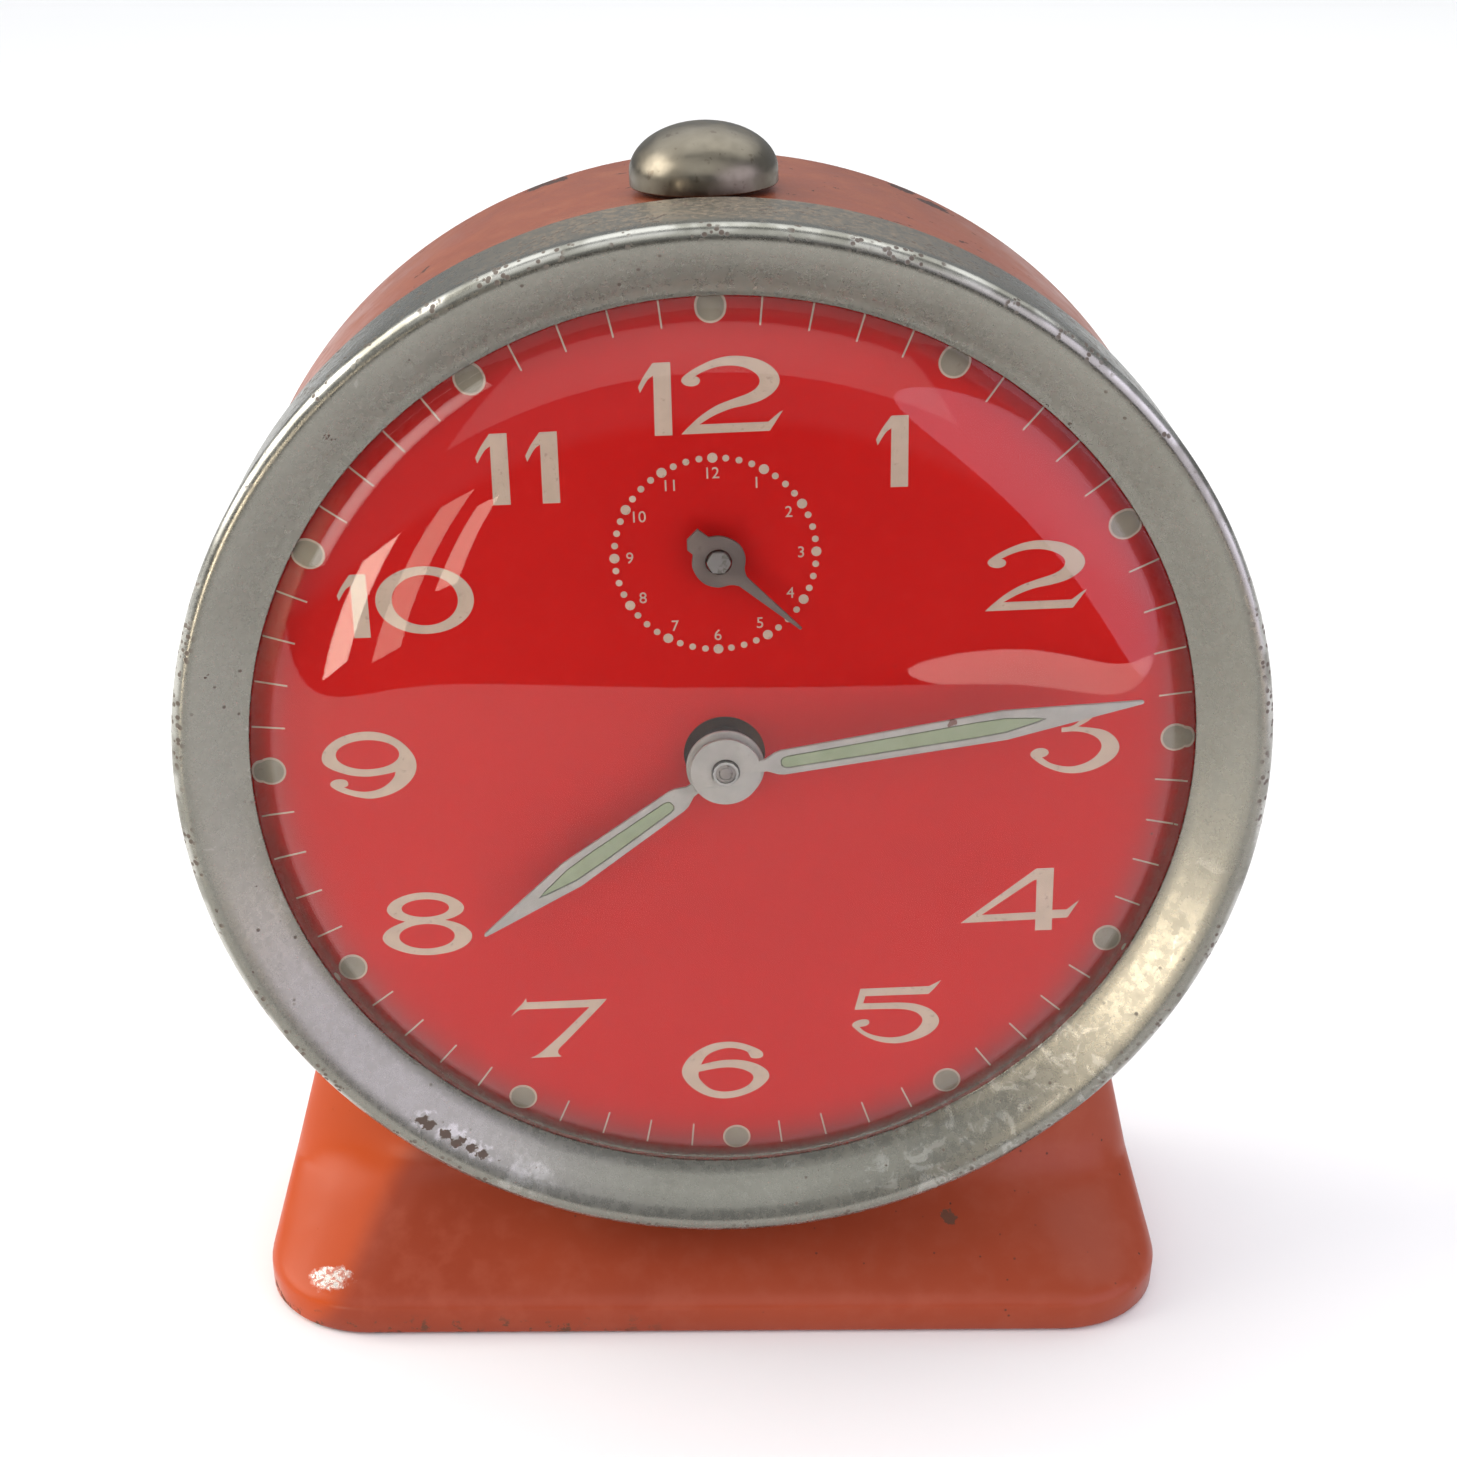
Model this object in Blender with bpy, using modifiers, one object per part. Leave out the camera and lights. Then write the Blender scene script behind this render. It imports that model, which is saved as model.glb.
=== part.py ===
"""A wind-up alarm clock: a painted drum on a pressed foot, a nickel bezel with a domed glass, a movement.

The head (everything but the foot) hangs on one empty. Inside it a place is given as x and z across the dial
and as a depth, measured back from the plane of the bezel's front rim. All sizes are in metres.
"""

import math

import bmesh
import bpy

# Stance
HEAD_CLEARANCE = 0.01224
HEAD_ROLL = math.radians(2.5)
FIT_GAP = 0.0003
RUN_GAP = 0.00008
CUT_OVERRUN = 0.002
WELD_DISTANCE = 0.000001
SHARP_ANGLE = math.radians(40)

# Bezel and glass
BEZEL_BAND_DEPTH = 0.0117
BEZEL_EDGE_ROUND = 0.0012
BEZEL_FACE_WIDTH = 0.0068
BEZEL_DISH_DEPTH = 0.0031
BEZEL_SHEET = 0.0004
GLASS_PROUD = 0.0030
GLASS_THICKNESS = 0.0011
GLASS_SHOULDER_DROP = 0.0022
GLASS_SHOULDER_ROUND = 0.0020
GLASS_FLANGE = 0.0027
GLASS_FLANGE_SHEET = 0.0009

# Dial
DIAL_DEPTH = 0.0051
DIAL_SHEET = 0.0005
DIAL_EDGE_GAP = 0.0018
DIAL_HOLE_RADIUS = 0.00315
SUBDIAL_OFFSET = 0.0199
DIAL_FOOT_RADIUS = 0.0009
DIAL_FOOT_CIRCLE = 0.0244
DIAL_FOOT_ANGLES = (35, 145, 284)

# Drum
DRUM_SHEET = 0.0007
DRUM_CLEARANCE = 0.0114
DRUM_CORNER = 0.0006
DRUM_FRONT_LIP = 0.0040
DRUM_REAR_LIP = 0.0020

# Back cover
COVER_SHEET = 0.0006
COVER_BELL_GAP = 0.0011
COVER_RECESS = 0.0010
COVER_RIM_WIDTH = 0.0055
COVER_STEP_WIDTH = 0.0015
COVER_HOLE_GAP = 0.0012
COVER_SCREW_HEAD_RADIUS = 0.0024
COVER_SCREW_HEAD_HEIGHT = 0.0012
COVER_SCREW_RADIUS = 0.0008

# Foot
FOOT_SIDE_INSET = 0.0041
FOOT_HALF_DEPTH = 0.0207
FOOT_BEZEL_GAP = 0.0011
FOOT_CORNER = 0.0112
FOOT_TOP_DROP = 0.02874
FOOT_WAIST = 0.0076
FOOT_SIDE_TAPER = 0.0080
FOOT_TOP_CORNER = 0.0150
FOOT_SHEET = 0.0009
FOOT_LIP = 0.0022
FOOT_SKIRT = 0.0030
FOOT_SCREW_ANGLE = math.radians(15)
FOOT_SCREW_HEAD_RADIUS = 0.0026
FOOT_SCREW_HEAD_HEIGHT = 0.0014
FOOT_SCREW_RADIUS = 0.0013
FOOT_SCREW_LENGTH = 0.0042

# Stop button
BUTTON_RADIUS = 0.00685
BUTTON_RIM_HEIGHT = 0.0012
BUTTON_DOME_HEIGHT = 0.0044
BUTTON_SHEET = 0.0006
BUTTON_STEM_RADIUS = 0.0015
BUTTON_STEM_LENGTH = 0.0135
BUTTON_COLLAR_RADIUS = 0.0028
BUTTON_COLLAR_HEIGHT = 0.0010
BUSH_RADIUS = 0.0028
BUSH_FLANGE_RADIUS = 0.0040
BUSH_FLANGE_HEIGHT = 0.0008
BUSH_LENGTH = 0.0034

# Hands
MINUTE_HAND_TIP_GAP = 0.0040
MINUTE_HAND_ANGLE = math.radians(81.9)
MINUTE_HAND_DEPTH = 0.0009
HOUR_HAND_LENGTH = 0.0282
HOUR_HAND_ANGLE = math.radians(234.5)
HOUR_HAND_DEPTH = 0.0020
HAND_SHEET = 0.00035
HAND_HUB_RADIUS = 0.0031
HAND_SHOULDER_REACH = 0.0062
HAND_TIP_WIDTH = 0.0004
HAND_NECK_WIDTH = 0.0012
HAND_SHOULDER_WIDTH = 0.0022
HAND_BLADE_WIDTH = 0.0030
ALARM_HAND_LENGTH = 0.0100
ALARM_HAND_ANGLE = math.radians(132.7)
ALARM_HAND_DEPTH = 0.0031
ALARM_HUB_RADIUS = 0.00245
ALARM_HAND_WIDTH = 0.0010
ALARM_NUB_WIDTH = 0.0022
ALARM_NUB_REACH = 0.0036
ALARM_RIVET_PROUD = 0.00035

# Movement plates and pillars
FRONT_PLATE_DEPTH = 0.0100
PLATE_SHEET = 0.0012
PLATE_SPACE = 0.0152
PLATE_MARGIN = 0.0008
PILLAR_CIRCLE = 0.0352
PILLAR_RADIUS = 0.0022
PILLAR_NECK_RADIUS = 0.0016
PILLAR_BORE_RADIUS = 0.0011
PILLAR_BORE_DEPTH = 0.0050
PILLAR_ANGLES = (106.5, 163.5, 250, 350)

# Arbors
ARBOR_RADIUS = 0.0008
ESCAPE_ARBOR_RADIUS = 0.00065
PIVOT_RADIUS = 0.0005
WINDING_PIVOT_RADIUS = 0.0010
END_SHAKE = 0.0003
PIVOT_GAP = 0.0001
CENTRE_ARBOR_RADIUS = 0.0009
ALARM_ARBOR_RADIUS = 0.0011
WINDING_ARBOR_RADIUS = 0.0016

# Going train: modules, wheel layers and the bearing of each arbor from the last
GREAT_MODULE = 0.000933
CENTRE_MODULE = 0.000667
THIRD_MODULE = 0.000533
FOURTH_MODULE = 0.00044
GREAT_TEETH = 36
CENTRE_PINION_TEETH = 6
CENTRE_TEETH = 45
THIRD_PINION_TEETH = 6
THIRD_TEETH = 48
FOURTH_PINION_TEETH = 6
FOURTH_TEETH = 48
ESCAPE_PINION_TEETH = 6
ESCAPE_TEETH = 15
GREAT_BEARING = math.radians(218)
THIRD_BEARING = math.radians(38)
FOURTH_BEARING = math.radians(78)
ESCAPE_BEARING = math.radians(-18)
PALLET_BEARING = math.radians(-70)
BALANCE_BEARING = math.radians(-112)
WHEEL_SHEET = 0.0010
GREAT_SHEET = 0.0014
GREAT_LAYER = 0.0120
THIRD_LAYER = 0.0160
FOURTH_LAYER = 0.0190
CENTRE_LAYER = 0.0243
ESCAPE_LAYER = 0.0130
PINION_OVERHANG = 0.0004
WHEEL_HUB_RADIUS = 0.0021
TRAIN_SPOKES = 3

# Escapement
ESCAPE_RADIUS = 0.0060
ESCAPE_TOOTH_HEIGHT = 0.0017
PALLET_DISTANCE = 0.0080
PALLET_REACH = 0.0042
PALLET_ANGLE = math.radians(60)
PALLET_PIN_RADIUS = 0.0003
PALLET_PIN_OVERRUN = 0.0004
PALLET_LAYER = 0.0146
PALLET_SHEET = 0.0008
PALLET_WIDTH = 0.0018
FORK_HALF_GAP = 0.0009
FORK_DEPTH = 0.0016
FORK_CLEARANCE = 0.0004
BALANCE_DISTANCE = 0.0095
BALANCE_RADIUS = 0.0082
BALANCE_RIM = 0.0014
BALANCE_ARM_WIDTH = 0.0016
BALANCE_LAYER = 0.0200
ROLLER_RADIUS = 0.0021
ROLLER_LAYER = 0.0134
ROLLER_SHEET = 0.0008
IMPULSE_PIN_RADIUS = 0.0003
IMPULSE_PIN_CIRCLE = 0.0016
HAIRSPRING_LAYER = 0.0226
HAIRSPRING_RADIUS = 0.0052
HAIRSPRING_INNER_RADIUS = 0.0014
HAIRSPRING_RIBBON = 0.00016
HAIRSPRING_HEIGHT = 0.0006
HAIRSPRING_TURNS = 3

# Alarm train
ALARM_GREAT_MODULE = 0.0008
ALARM_GREAT_TEETH = 30
ALARM_PINION_TEETH = 6
VERGE_TEETH = 15
ALARM_GREAT_CIRCLE = 0.02126
ALARM_GREAT_BEARING = math.radians(325.4)
VERGE_BEARING = math.radians(250)
HAMMER_BEARING = math.radians(190)
VERGE_RADIUS = 0.0062
VERGE_TOOTH_HEIGHT = 0.0014
VERGE_LAYER = 0.0242
HAMMER_DISTANCE = 0.0076
HAMMER_PALLET_REACH = 0.0034
HAMMER_PALLET_WIDTH = 0.0007
HAMMER_PALLET_ANGLE = math.radians(68)

# Springs and winding work
TIME_SPRING_RADIUS = 0.0130
ALARM_SPRING_RADIUS = 0.0090
SPRING_LAYER = 0.0156
SPRING_HEIGHT = 0.0076
SPRING_RIBBON = 0.0004
SPRING_TURNS = 3
RATCHET_LAYER = 0.0138
RATCHET_SHEET = 0.0009
RATCHET_RADIUS = 0.0046
RATCHET_TOOTH_HEIGHT = 0.0009
RATCHET_TEETH = 12
CLICK_LENGTH = 0.0046
CLICK_WIDTH = 0.0013
CLICK_PIN_RADIUS = 0.0006
CLICK_CIRCLE = 0.0074
CLICK_LEAN = math.radians(41.6)
SPRING_INNER_RADIUS = 0.0026

# Motion work, between the dial and the front plate
MOTION_MODULE = 0.001036
MOTION_DRIVE_LEAVES = 6
MINUTE_WHEEL_TEETH = 18
MINUTE_PINION_TEETH = 6
HOUR_TEETH = 24
MINUTE_WHEEL_BEARING = math.radians(210)
HOUR_LAYER = 0.0062
MINUTE_WHEEL_LAYER = 0.0079
MOTION_SHEET = 0.0010
CANNON_RADIUS = 0.00175
CANNON_TIP_RADIUS = 0.00122
CANNON_TIP_PROUD = 0.0004
PIPE_WALL = 0.0006
MINUTE_STUD_RADIUS = 0.0010

# Bell and hammer
BELL_RADIUS = 0.0160
BELL_SHEET = 0.0008
BELL_HEIGHT = 0.0062
BELL_FRONT_GAP = 0.0016
BELL_CORNER = 0.0030
BELL_POST_RADIUS = 0.0032
BELL_POST_NECK_RADIUS = 0.0022
BELL_POST_NECK_LENGTH = 0.0008
BELL_FOOT_RADIUS = 0.0048
BELL_FOOT_HEIGHT = 0.0010
HAMMER_HEAD_RADIUS = 0.0025
HAMMER_HEAD_HEIGHT = 0.0034
HAMMER_ARM_WIDTH = 0.0014
HAMMER_ARM_SHEET = 0.0008
HAMMER_CLEARANCE = 0.0019
HAMMER_HEAD_FRONT_GAP = 0.0005

# Keys, knobs and regulator
KEY_HUB_RADIUS = 0.0028
KEY_HUB_LENGTH = 0.0058
KEY_WING_SPAN = 0.0210
KEY_WING_HEIGHT = 0.0085
KEY_WING_SHEET = 0.0012
KEY_STAND_OFF = 0.0010
KNOB_RADIUS = 0.0047
KNOB_LENGTH = 0.0040
KNOB_FLUTE_DEPTH = 0.0004
KNOB_FLUTES = 12
KNOB_COLLAR_RADIUS = 0.0024
KNOB_COLLAR_LENGTH = 0.0014
REGULATOR_LENGTH = 0.0100
REGULATOR_HUB_RADIUS = 0.0026
REGULATOR_WIDTH = 0.0018
REGULATOR_SHEET = 0.0007
REGULATOR_TAIL_RADIUS = 0.0008
REGULATOR_BOSS_RADIUS = 0.0013
REGULATOR_LAYER_GAP = 0.0006
REGULATOR_TAIL_PROUD = 0.0024
REGULATOR_BEARING = math.radians(60)
REGULATOR_SWING = math.radians(16)

# Segments round a full turn
ROUND_CASE = 32
ROUND_BELL = 20
CORNER_STEPS = 2
ROUND_BUTTON = 16
ROUND_HUB = 12
ROUND_SHAFT = 6
ROUND_PIVOT_HOLE = 8
ROUND_PLATE = 24
ROUND_HOLE = 10
ROUND_WINDING_HOLE = 12
DOME_STEPS = 3
ARC_STEPS = 4

# Tooth shapes, as shares of the module and of one tooth's angle
WHEEL_ADDENDUM_SHARE = 0.85
WHEEL_DEDENDUM_SHARE = 1.5
PINION_ADDENDUM_SHARE = 0.75
PINION_DEDENDUM_SHARE = 1.4
PINION_TIP_SHARE = 0.09
VALLEY_SHARE = 0.5
SAW_LEAN_SHARE = 0.15

# Derived radii, from the movement out to the case
PLATE_RADIUS = PILLAR_CIRCLE + PILLAR_RADIUS + PLATE_MARGIN
DRUM_BORE = PLATE_RADIUS + DRUM_CLEARANCE
DRUM_RADIUS = DRUM_BORE + DRUM_SHEET
DIAL_RADIUS = DRUM_RADIUS - DIAL_EDGE_GAP
COVER_RADIUS = DRUM_BORE - DRUM_REAR_LIP - FIT_GAP
BEZEL_RADIUS = DRUM_RADIUS + FIT_GAP + BEZEL_SHEET
BEZEL_INNER_RADIUS = BEZEL_RADIUS - BEZEL_FACE_WIDTH
MINUTE_HAND_LENGTH = BEZEL_INNER_RADIUS - MINUTE_HAND_TIP_GAP
HEAD_HEIGHT = BEZEL_RADIUS + HEAD_CLEARANCE
FOOT_HALF_WIDTH = BEZEL_RADIUS - FOOT_SIDE_INSET
FOOT_TOP_HALF_WIDTH = FOOT_HALF_WIDTH - FOOT_SIDE_TAPER
FOOT_TOP = HEAD_HEIGHT - FOOT_TOP_DROP

# Derived depths and places
FOOT_CENTRE_DEPTH = BEZEL_BAND_DEPTH + FOOT_BEZEL_GAP + FOOT_WAIST
DRUM_FRONT_DEPTH = DIAL_DEPTH + DIAL_SHEET + FIT_GAP
FRONT_PLATE_BACK = FRONT_PLATE_DEPTH + PLATE_SHEET
BACK_PLATE_DEPTH = FRONT_PLATE_BACK + PLATE_SPACE
BACK_PLATE_BACK = BACK_PLATE_DEPTH + PLATE_SHEET
BELL_BACK = BACK_PLATE_BACK + BELL_FRONT_GAP + BELL_HEIGHT
BELL_POST_BACK = BELL_BACK + BELL_POST_NECK_LENGTH
COVER_PAN_FRONT = BELL_POST_BACK + COVER_BELL_GAP
COVER_PAN_BACK = COVER_PAN_FRONT + COVER_SHEET
COVER_RIM_BACK = COVER_PAN_BACK + COVER_RECESS
DRUM_REAR_DEPTH = COVER_RIM_BACK
KEY_FRONT = COVER_RIM_BACK + KEY_STAND_OFF
KEY_BACK = KEY_FRONT + KEY_HUB_LENGTH + KEY_WING_HEIGHT
FRONT_Y = (GLASS_PROUD - KEY_BACK) / 2


def polar(distance, bearing, origin=(0.0, 0.0)):
    """The point at this distance and bearing (anticlockwise from +x, seen from the front) from an origin."""
    return origin[0] + distance * math.cos(bearing), origin[1] + distance * math.sin(bearing)


def mesh_distance(module, first, second):
    """Distance between the centres of two gears in mesh."""
    return module * (first + second) / 2


CENTRE = (0.0, 0.0)
ALARM_SET = (0.0, SUBDIAL_OFFSET)
GREAT = polar(mesh_distance(GREAT_MODULE, GREAT_TEETH, CENTRE_PINION_TEETH), GREAT_BEARING)
THIRD = polar(mesh_distance(CENTRE_MODULE, CENTRE_TEETH, THIRD_PINION_TEETH), THIRD_BEARING)
FOURTH = polar(mesh_distance(THIRD_MODULE, THIRD_TEETH, FOURTH_PINION_TEETH), FOURTH_BEARING, THIRD)
ESCAPE = polar(mesh_distance(FOURTH_MODULE, FOURTH_TEETH, ESCAPE_PINION_TEETH), ESCAPE_BEARING, FOURTH)
PALLET = polar(PALLET_DISTANCE, PALLET_BEARING, ESCAPE)
BALANCE = polar(BALANCE_DISTANCE, BALANCE_BEARING, PALLET)
ALARM_GREAT = polar(ALARM_GREAT_CIRCLE, ALARM_GREAT_BEARING)
VERGE = polar(
    mesh_distance(ALARM_GREAT_MODULE, ALARM_GREAT_TEETH, ALARM_PINION_TEETH), VERGE_BEARING, ALARM_GREAT
)
HAMMER = polar(HAMMER_DISTANCE, HAMMER_BEARING, VERGE)
MINUTE_WHEEL = polar(
    mesh_distance(MOTION_MODULE, MOTION_DRIVE_LEAVES, MINUTE_WHEEL_TEETH), MINUTE_WHEEL_BEARING
)
HOUR_MODULE = SUBDIAL_OFFSET / HOUR_TEETH
MINUTE_PINION_MODULE = 2 * math.hypot(*MINUTE_WHEEL) / (HOUR_TEETH + MINUTE_PINION_TEETH)
PILLARS = [polar(PILLAR_CIRCLE, math.radians(angle)) for angle in PILLAR_ANGLES]
DIAL_FEET = [polar(DIAL_FOOT_CIRCLE, math.radians(angle)) for angle in DIAL_FOOT_ANGLES]
PIVOTED = [THIRD, FOURTH, ESCAPE, PALLET, VERGE]

# Shapes shared by several pieces, as shares
DISH_SHARES = ((0.4, 0.5),)
FOOT_SHARES = (
    (0.0, 0.0, 0.0, 0.0),
    (0.032, 0.025, 0.04, 0.02),
    (0.064, 0.06, 0.145, 0.15),
    (0.127, 0.125, 0.405, 0.45),
    (0.190, 0.19, 0.65, 0.75),
    (0.254, 0.254, 0.847, 0.95),
    (0.317, 0.317, 0.954, 1.0),
    (0.413, 0.413, 1.0, 1.0),
    (1.0, 1.0, 1.0, 1.0),
)
FOOT_HOLLOW_SHARES = [level for level in FOOT_SHARES if level not in (FOOT_SHARES[1], FOOT_SHARES[3])]
HAND_WIDEST_SHARE = 0.65
SCREW_CROWN_SHARE = 0.6
WINDOW_SHARES = (0.36, 0.84)
SPOKE_ANGLE = math.radians(9)
KEY_WING_SHARES = (
    (0.25, -0.10),
    (0.40, 0.06),
    (0.74, 0.10),
    (0.95, 0.28),
    (1.0, 0.52),
    (0.90, 0.82),
    (0.64, 1.0),
    (0.34, 0.93),
    (0.12, 0.72),
)
KNOB_BORE_SHARE = 0.5
KEY_BORE_SHARE = 0.8
CLICK_TIP_SHARE = 0.3
PIPE_BORE_SHARE = 0.5

TURN = 2 * math.pi

for left_over in list(bpy.data.objects):
    bpy.data.objects.remove(left_over, do_unlink=True)

PARTS = bpy.data.collections.new("alarm_clock")
CUTTERS = bpy.data.collections.new("cutters")
for collection in (PARTS, CUTTERS):
    bpy.context.scene.collection.children.link(collection)

HEAD = bpy.data.objects.new("head", None)
PARTS.objects.link(HEAD)
HEAD.location = (0.0, FRONT_Y, HEAD_HEIGHT)
HEAD.rotation_euler = (0.0, -HEAD_ROLL, 0.0)

CORAL_PAINT = ((0.60, 0.105, 0.045), 0.38, 0.0)
RED_PRINT = ((0.52, 0.018, 0.016), 0.45, 0.0)
SATIN_NICKEL = ((0.40, 0.40, 0.37), 0.38, 0.9)
BRIGHT_NICKEL = ((0.50, 0.47, 0.40), 0.2, 1.0)
CLEAR_GLASS = ((0.90, 0.93, 0.92), 0.03, 0.0)
HAND_WHITE = ((0.62, 0.60, 0.56), 0.5, 0.0)
DARK_BRONZE = ((0.20, 0.16, 0.15), 0.5, 0.4)
BRASS = ((0.60, 0.42, 0.15), 0.32, 1.0)
STEEL = ((0.38, 0.38, 0.40), 0.35, 1.0)
BLUED_STEEL = ((0.05, 0.07, 0.16), 0.3, 1.0)


def dress(obj, finish):
    """Give an object its own material."""
    colour, roughness, metallic = finish
    material = bpy.data.materials.new(obj.name)
    material.use_nodes = True
    shader = material.node_tree.nodes["Principled BSDF"]
    shader.inputs["Base Color"].default_value = (*colour, 1.0)
    shader.inputs["Roughness"].default_value = roughness
    shader.inputs["Metallic"].default_value = metallic
    if finish is CLEAR_GLASS:
        shader.inputs["Transmission Weight"].default_value = 1.0
    obj.data.materials.clear()
    obj.data.materials.append(material)
    return obj


def as_helper(obj):
    """Keep an object out of the model: it only cuts or joins another."""
    for collection in list(obj.users_collection):
        collection.objects.unlink(obj)
    CUTTERS.objects.link(obj)
    obj.hide_render = True
    obj.display_type = "WIRE"
    return obj


def in_head(obj, centre=CENTRE, depth=0.0, turn=0.0):
    """Set an object in the head, its local z towards the front, turned anticlockwise as seen from there."""
    obj.parent = HEAD
    obj.location = (centre[0], depth, centre[1])
    obj.rotation_euler = (math.pi / 2, -turn, 0.0)
    return obj


def circle(radius, count, origin=(0.0, 0.0), phase=0.0):
    """Points evenly round a circle."""
    return [polar(radius, phase + TURN * step / count, origin) for step in range(count)]


def arc(centre, radii, start, end, count):
    """Points along a quarter or other stretch of an ellipse, both ends included."""
    angles = [start + (end - start) * step / count for step in range(count + 1)]
    return [(centre[0] + radii[0] * math.cos(a), centre[1] + radii[1] * math.sin(a)) for a in angles]


def bar(start, end, width):
    """A straight strip from one point to another."""
    length = math.hypot(end[0] - start[0], end[1] - start[1])
    across = ((start[1] - end[1]) / length * width / 2, (end[0] - start[0]) / length * width / 2)
    return [
        (start[0] - across[0], start[1] - across[1]),
        (end[0] - across[0], end[1] - across[1]),
        (end[0] + across[0], end[1] + across[1]),
        (start[0] + across[0], start[1] + across[1]),
    ]


def turned(name, outline, steps):
    """A turned solid. Its outline is (radius, height) points, closed unless both ends lie on the axis."""
    points = list(outline)
    doubled_area = 0.0
    for (x0, y0), (x1, y1) in zip(points, points[1:] + points[:1]):
        doubled_area += x0 * y1 - x1 * y0
    if doubled_area > 0:
        points.reverse()
    closed = points[0][0] > 0 or points[-1][0] > 0
    shape = bmesh.new()
    corners = [shape.verts.new((radius, 0.0, height)) for radius, height in points]
    for first, second in zip(corners, corners[1:] + (corners[:1] if closed else [])):
        shape.edges.new((first, second))
    mesh = bpy.data.meshes.new(name)
    shape.to_mesh(mesh)
    shape.free()
    obj = bpy.data.objects.new(name, mesh)
    PARTS.objects.link(obj)
    screw = obj.modifiers.new("Turn", "SCREW")
    screw.axis = "Z"
    screw.angle = TURN
    screw.steps = steps
    screw.render_steps = steps
    screw.use_merge_vertices = True
    screw.merge_threshold = WELD_DISTANCE
    screw.use_smooth_shade = True
    return obj


def spun(name, outline, steps, centre=CENTRE, turn=-HEAD_ROLL):
    """A turned piece of the head, its facets square to the ground. Its outline is (radius, depth) points."""
    obj = turned(name, [(radius, -depth) for radius, depth in outline], steps)
    return in_head(obj, centre, turn=turn)


def flat(name, loops, thickness):
    """A flat piece from closed loops of points, holes included."""
    curve = bpy.data.curves.new(name, "CURVE")
    curve.dimensions = "2D"
    curve.fill_mode = "BOTH"
    curve.extrude = thickness / 2
    for loop in loops:
        spline = curve.splines.new("POLY")
        spline.points.add(len(loop) - 1)
        for point, (x, y) in zip(spline.points, loop):
            point.co = (x, y, 0.0, 1.0)
        spline.use_cyclic_u = True
    obj = bpy.data.objects.new(name, curve)
    PARTS.objects.link(obj)
    return obj


def plate(name, loops, front, thickness, centre=CENTRE, turn=0.0):
    """A flat piece of the head, from its front depth back."""
    return in_head(flat(name, loops, thickness), centre, front + thickness / 2, turn)


def solid(curve_object):
    """Turn a curve into a mesh with welded caps, which a Boolean can use."""
    bpy.context.view_layer.update()
    graph = bpy.context.evaluated_depsgraph_get()
    mesh = bpy.data.meshes.new_from_object(curve_object.evaluated_get(graph))
    shape = bmesh.new()
    shape.from_mesh(mesh)
    bmesh.ops.remove_doubles(shape, verts=shape.verts, dist=WELD_DISTANCE)
    bmesh.ops.recalc_face_normals(shape, faces=shape.faces)
    shape.to_mesh(mesh)
    shape.free()
    name = curve_object.name
    curve_object.name = name + "_outline"
    obj = bpy.data.objects.new(name, mesh)
    PARTS.objects.link(obj)
    obj.parent = curve_object.parent
    bpy.context.view_layer.update()
    obj.matrix_world = curve_object.matrix_world
    bpy.data.objects.remove(curve_object, do_unlink=True)
    return obj


def boolean(obj, other, operation):
    """Cut a helper out of an object, or join it on."""
    modifier = obj.modifiers.new(other.name, "BOOLEAN")
    modifier.operation = operation
    modifier.object = as_helper(other)
    modifier.solver = "EXACT"
    return obj


def cut(obj, other):
    return boolean(obj, other, "DIFFERENCE")


def join(obj, other):
    return boolean(obj, other, "UNION")


def drill(obj, name, loops, front, back):
    """Cut holes of these outlines through everything between two depths."""
    return cut(obj, solid(plate(name, loops, front - CUT_OVERRUN, back - front + 2 * CUT_OVERRUN)))


def hole(radius, centre=CENTRE, count=ROUND_HOLE):
    return circle(radius, count, centre)


def dome(rim_radius, rim_depth, apex_depth, count):
    """A spherical dome from its apex to its rim, as (radius, depth) points."""
    rise = rim_depth - apex_depth
    sphere = (rim_radius**2 + rise**2) / (2 * rise)
    half = math.asin(rim_radius / sphere)
    angles = [half * step / count for step in range(count + 1)]
    return [(sphere * math.sin(a), apex_depth + sphere - sphere * math.cos(a)) for a in angles]


def bearing_of(start, end):
    return math.atan2(end[1] - start[1], end[0] - start[0])


def mate_phase(phase, teeth, mate_teeth, bearing):
    """Phase of a gear that meshes with one of this phase, in this direction from it."""
    return bearing + math.pi + math.pi / mate_teeth - (phase - bearing) * teeth / mate_teeth


def wheel_outline(teeth, module, phase):
    """A wheel: slim pointed teeth with a deep valley between them, which run free."""
    pitch = teeth * module / 2
    step = TURN / teeth
    tip = pitch + WHEEL_ADDENDUM_SHARE * module
    valley = pitch - WHEEL_DEDENDUM_SHARE * module
    corners = ((tip, 0.0), (valley, VALLEY_SHARE))
    return [polar(r, phase + (tooth + share) * step) for tooth in range(teeth) for r, share in corners]


def pinion_outline(teeth, module, phase):
    """A pinion: a few tapered leaves with a V between them."""
    pitch = teeth * module / 2
    step = TURN / teeth
    tip = pitch + PINION_ADDENDUM_SHARE * module
    root = pitch - PINION_DEDENDUM_SHARE * module
    corners = ((tip, -PINION_TIP_SHARE), (tip, PINION_TIP_SHARE), (root, VALLEY_SHARE))
    return [polar(r, phase + (tooth + share) * step) for tooth in range(teeth) for r, share in corners]


def saw_outline(teeth, radius, height):
    """A ratchet or escape wheel: each tooth is steep on one side."""
    step = TURN / teeth
    corners = ((radius, 0.0), (radius - height, SAW_LEAN_SHARE))
    return [polar(r, (tooth + share) * step) for tooth in range(teeth) for r, share in corners]


def windows(radius, spokes):
    """The openings between a wheel's spokes."""
    inner, outer = (share * radius for share in WINDOW_SHARES)
    loops = []
    for spoke in range(spokes):
        start = TURN * spoke / spokes + SPOKE_ANGLE
        end = TURN * (spoke + 1) / spokes - SPOKE_ANGLE
        outside = arc(CENTRE, (outer, outer), start, end, DOME_STEPS)
        inside = arc(CENTRE, (inner, inner), end, start, 1)
        loops.append(outside + inside)
    return loops


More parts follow.
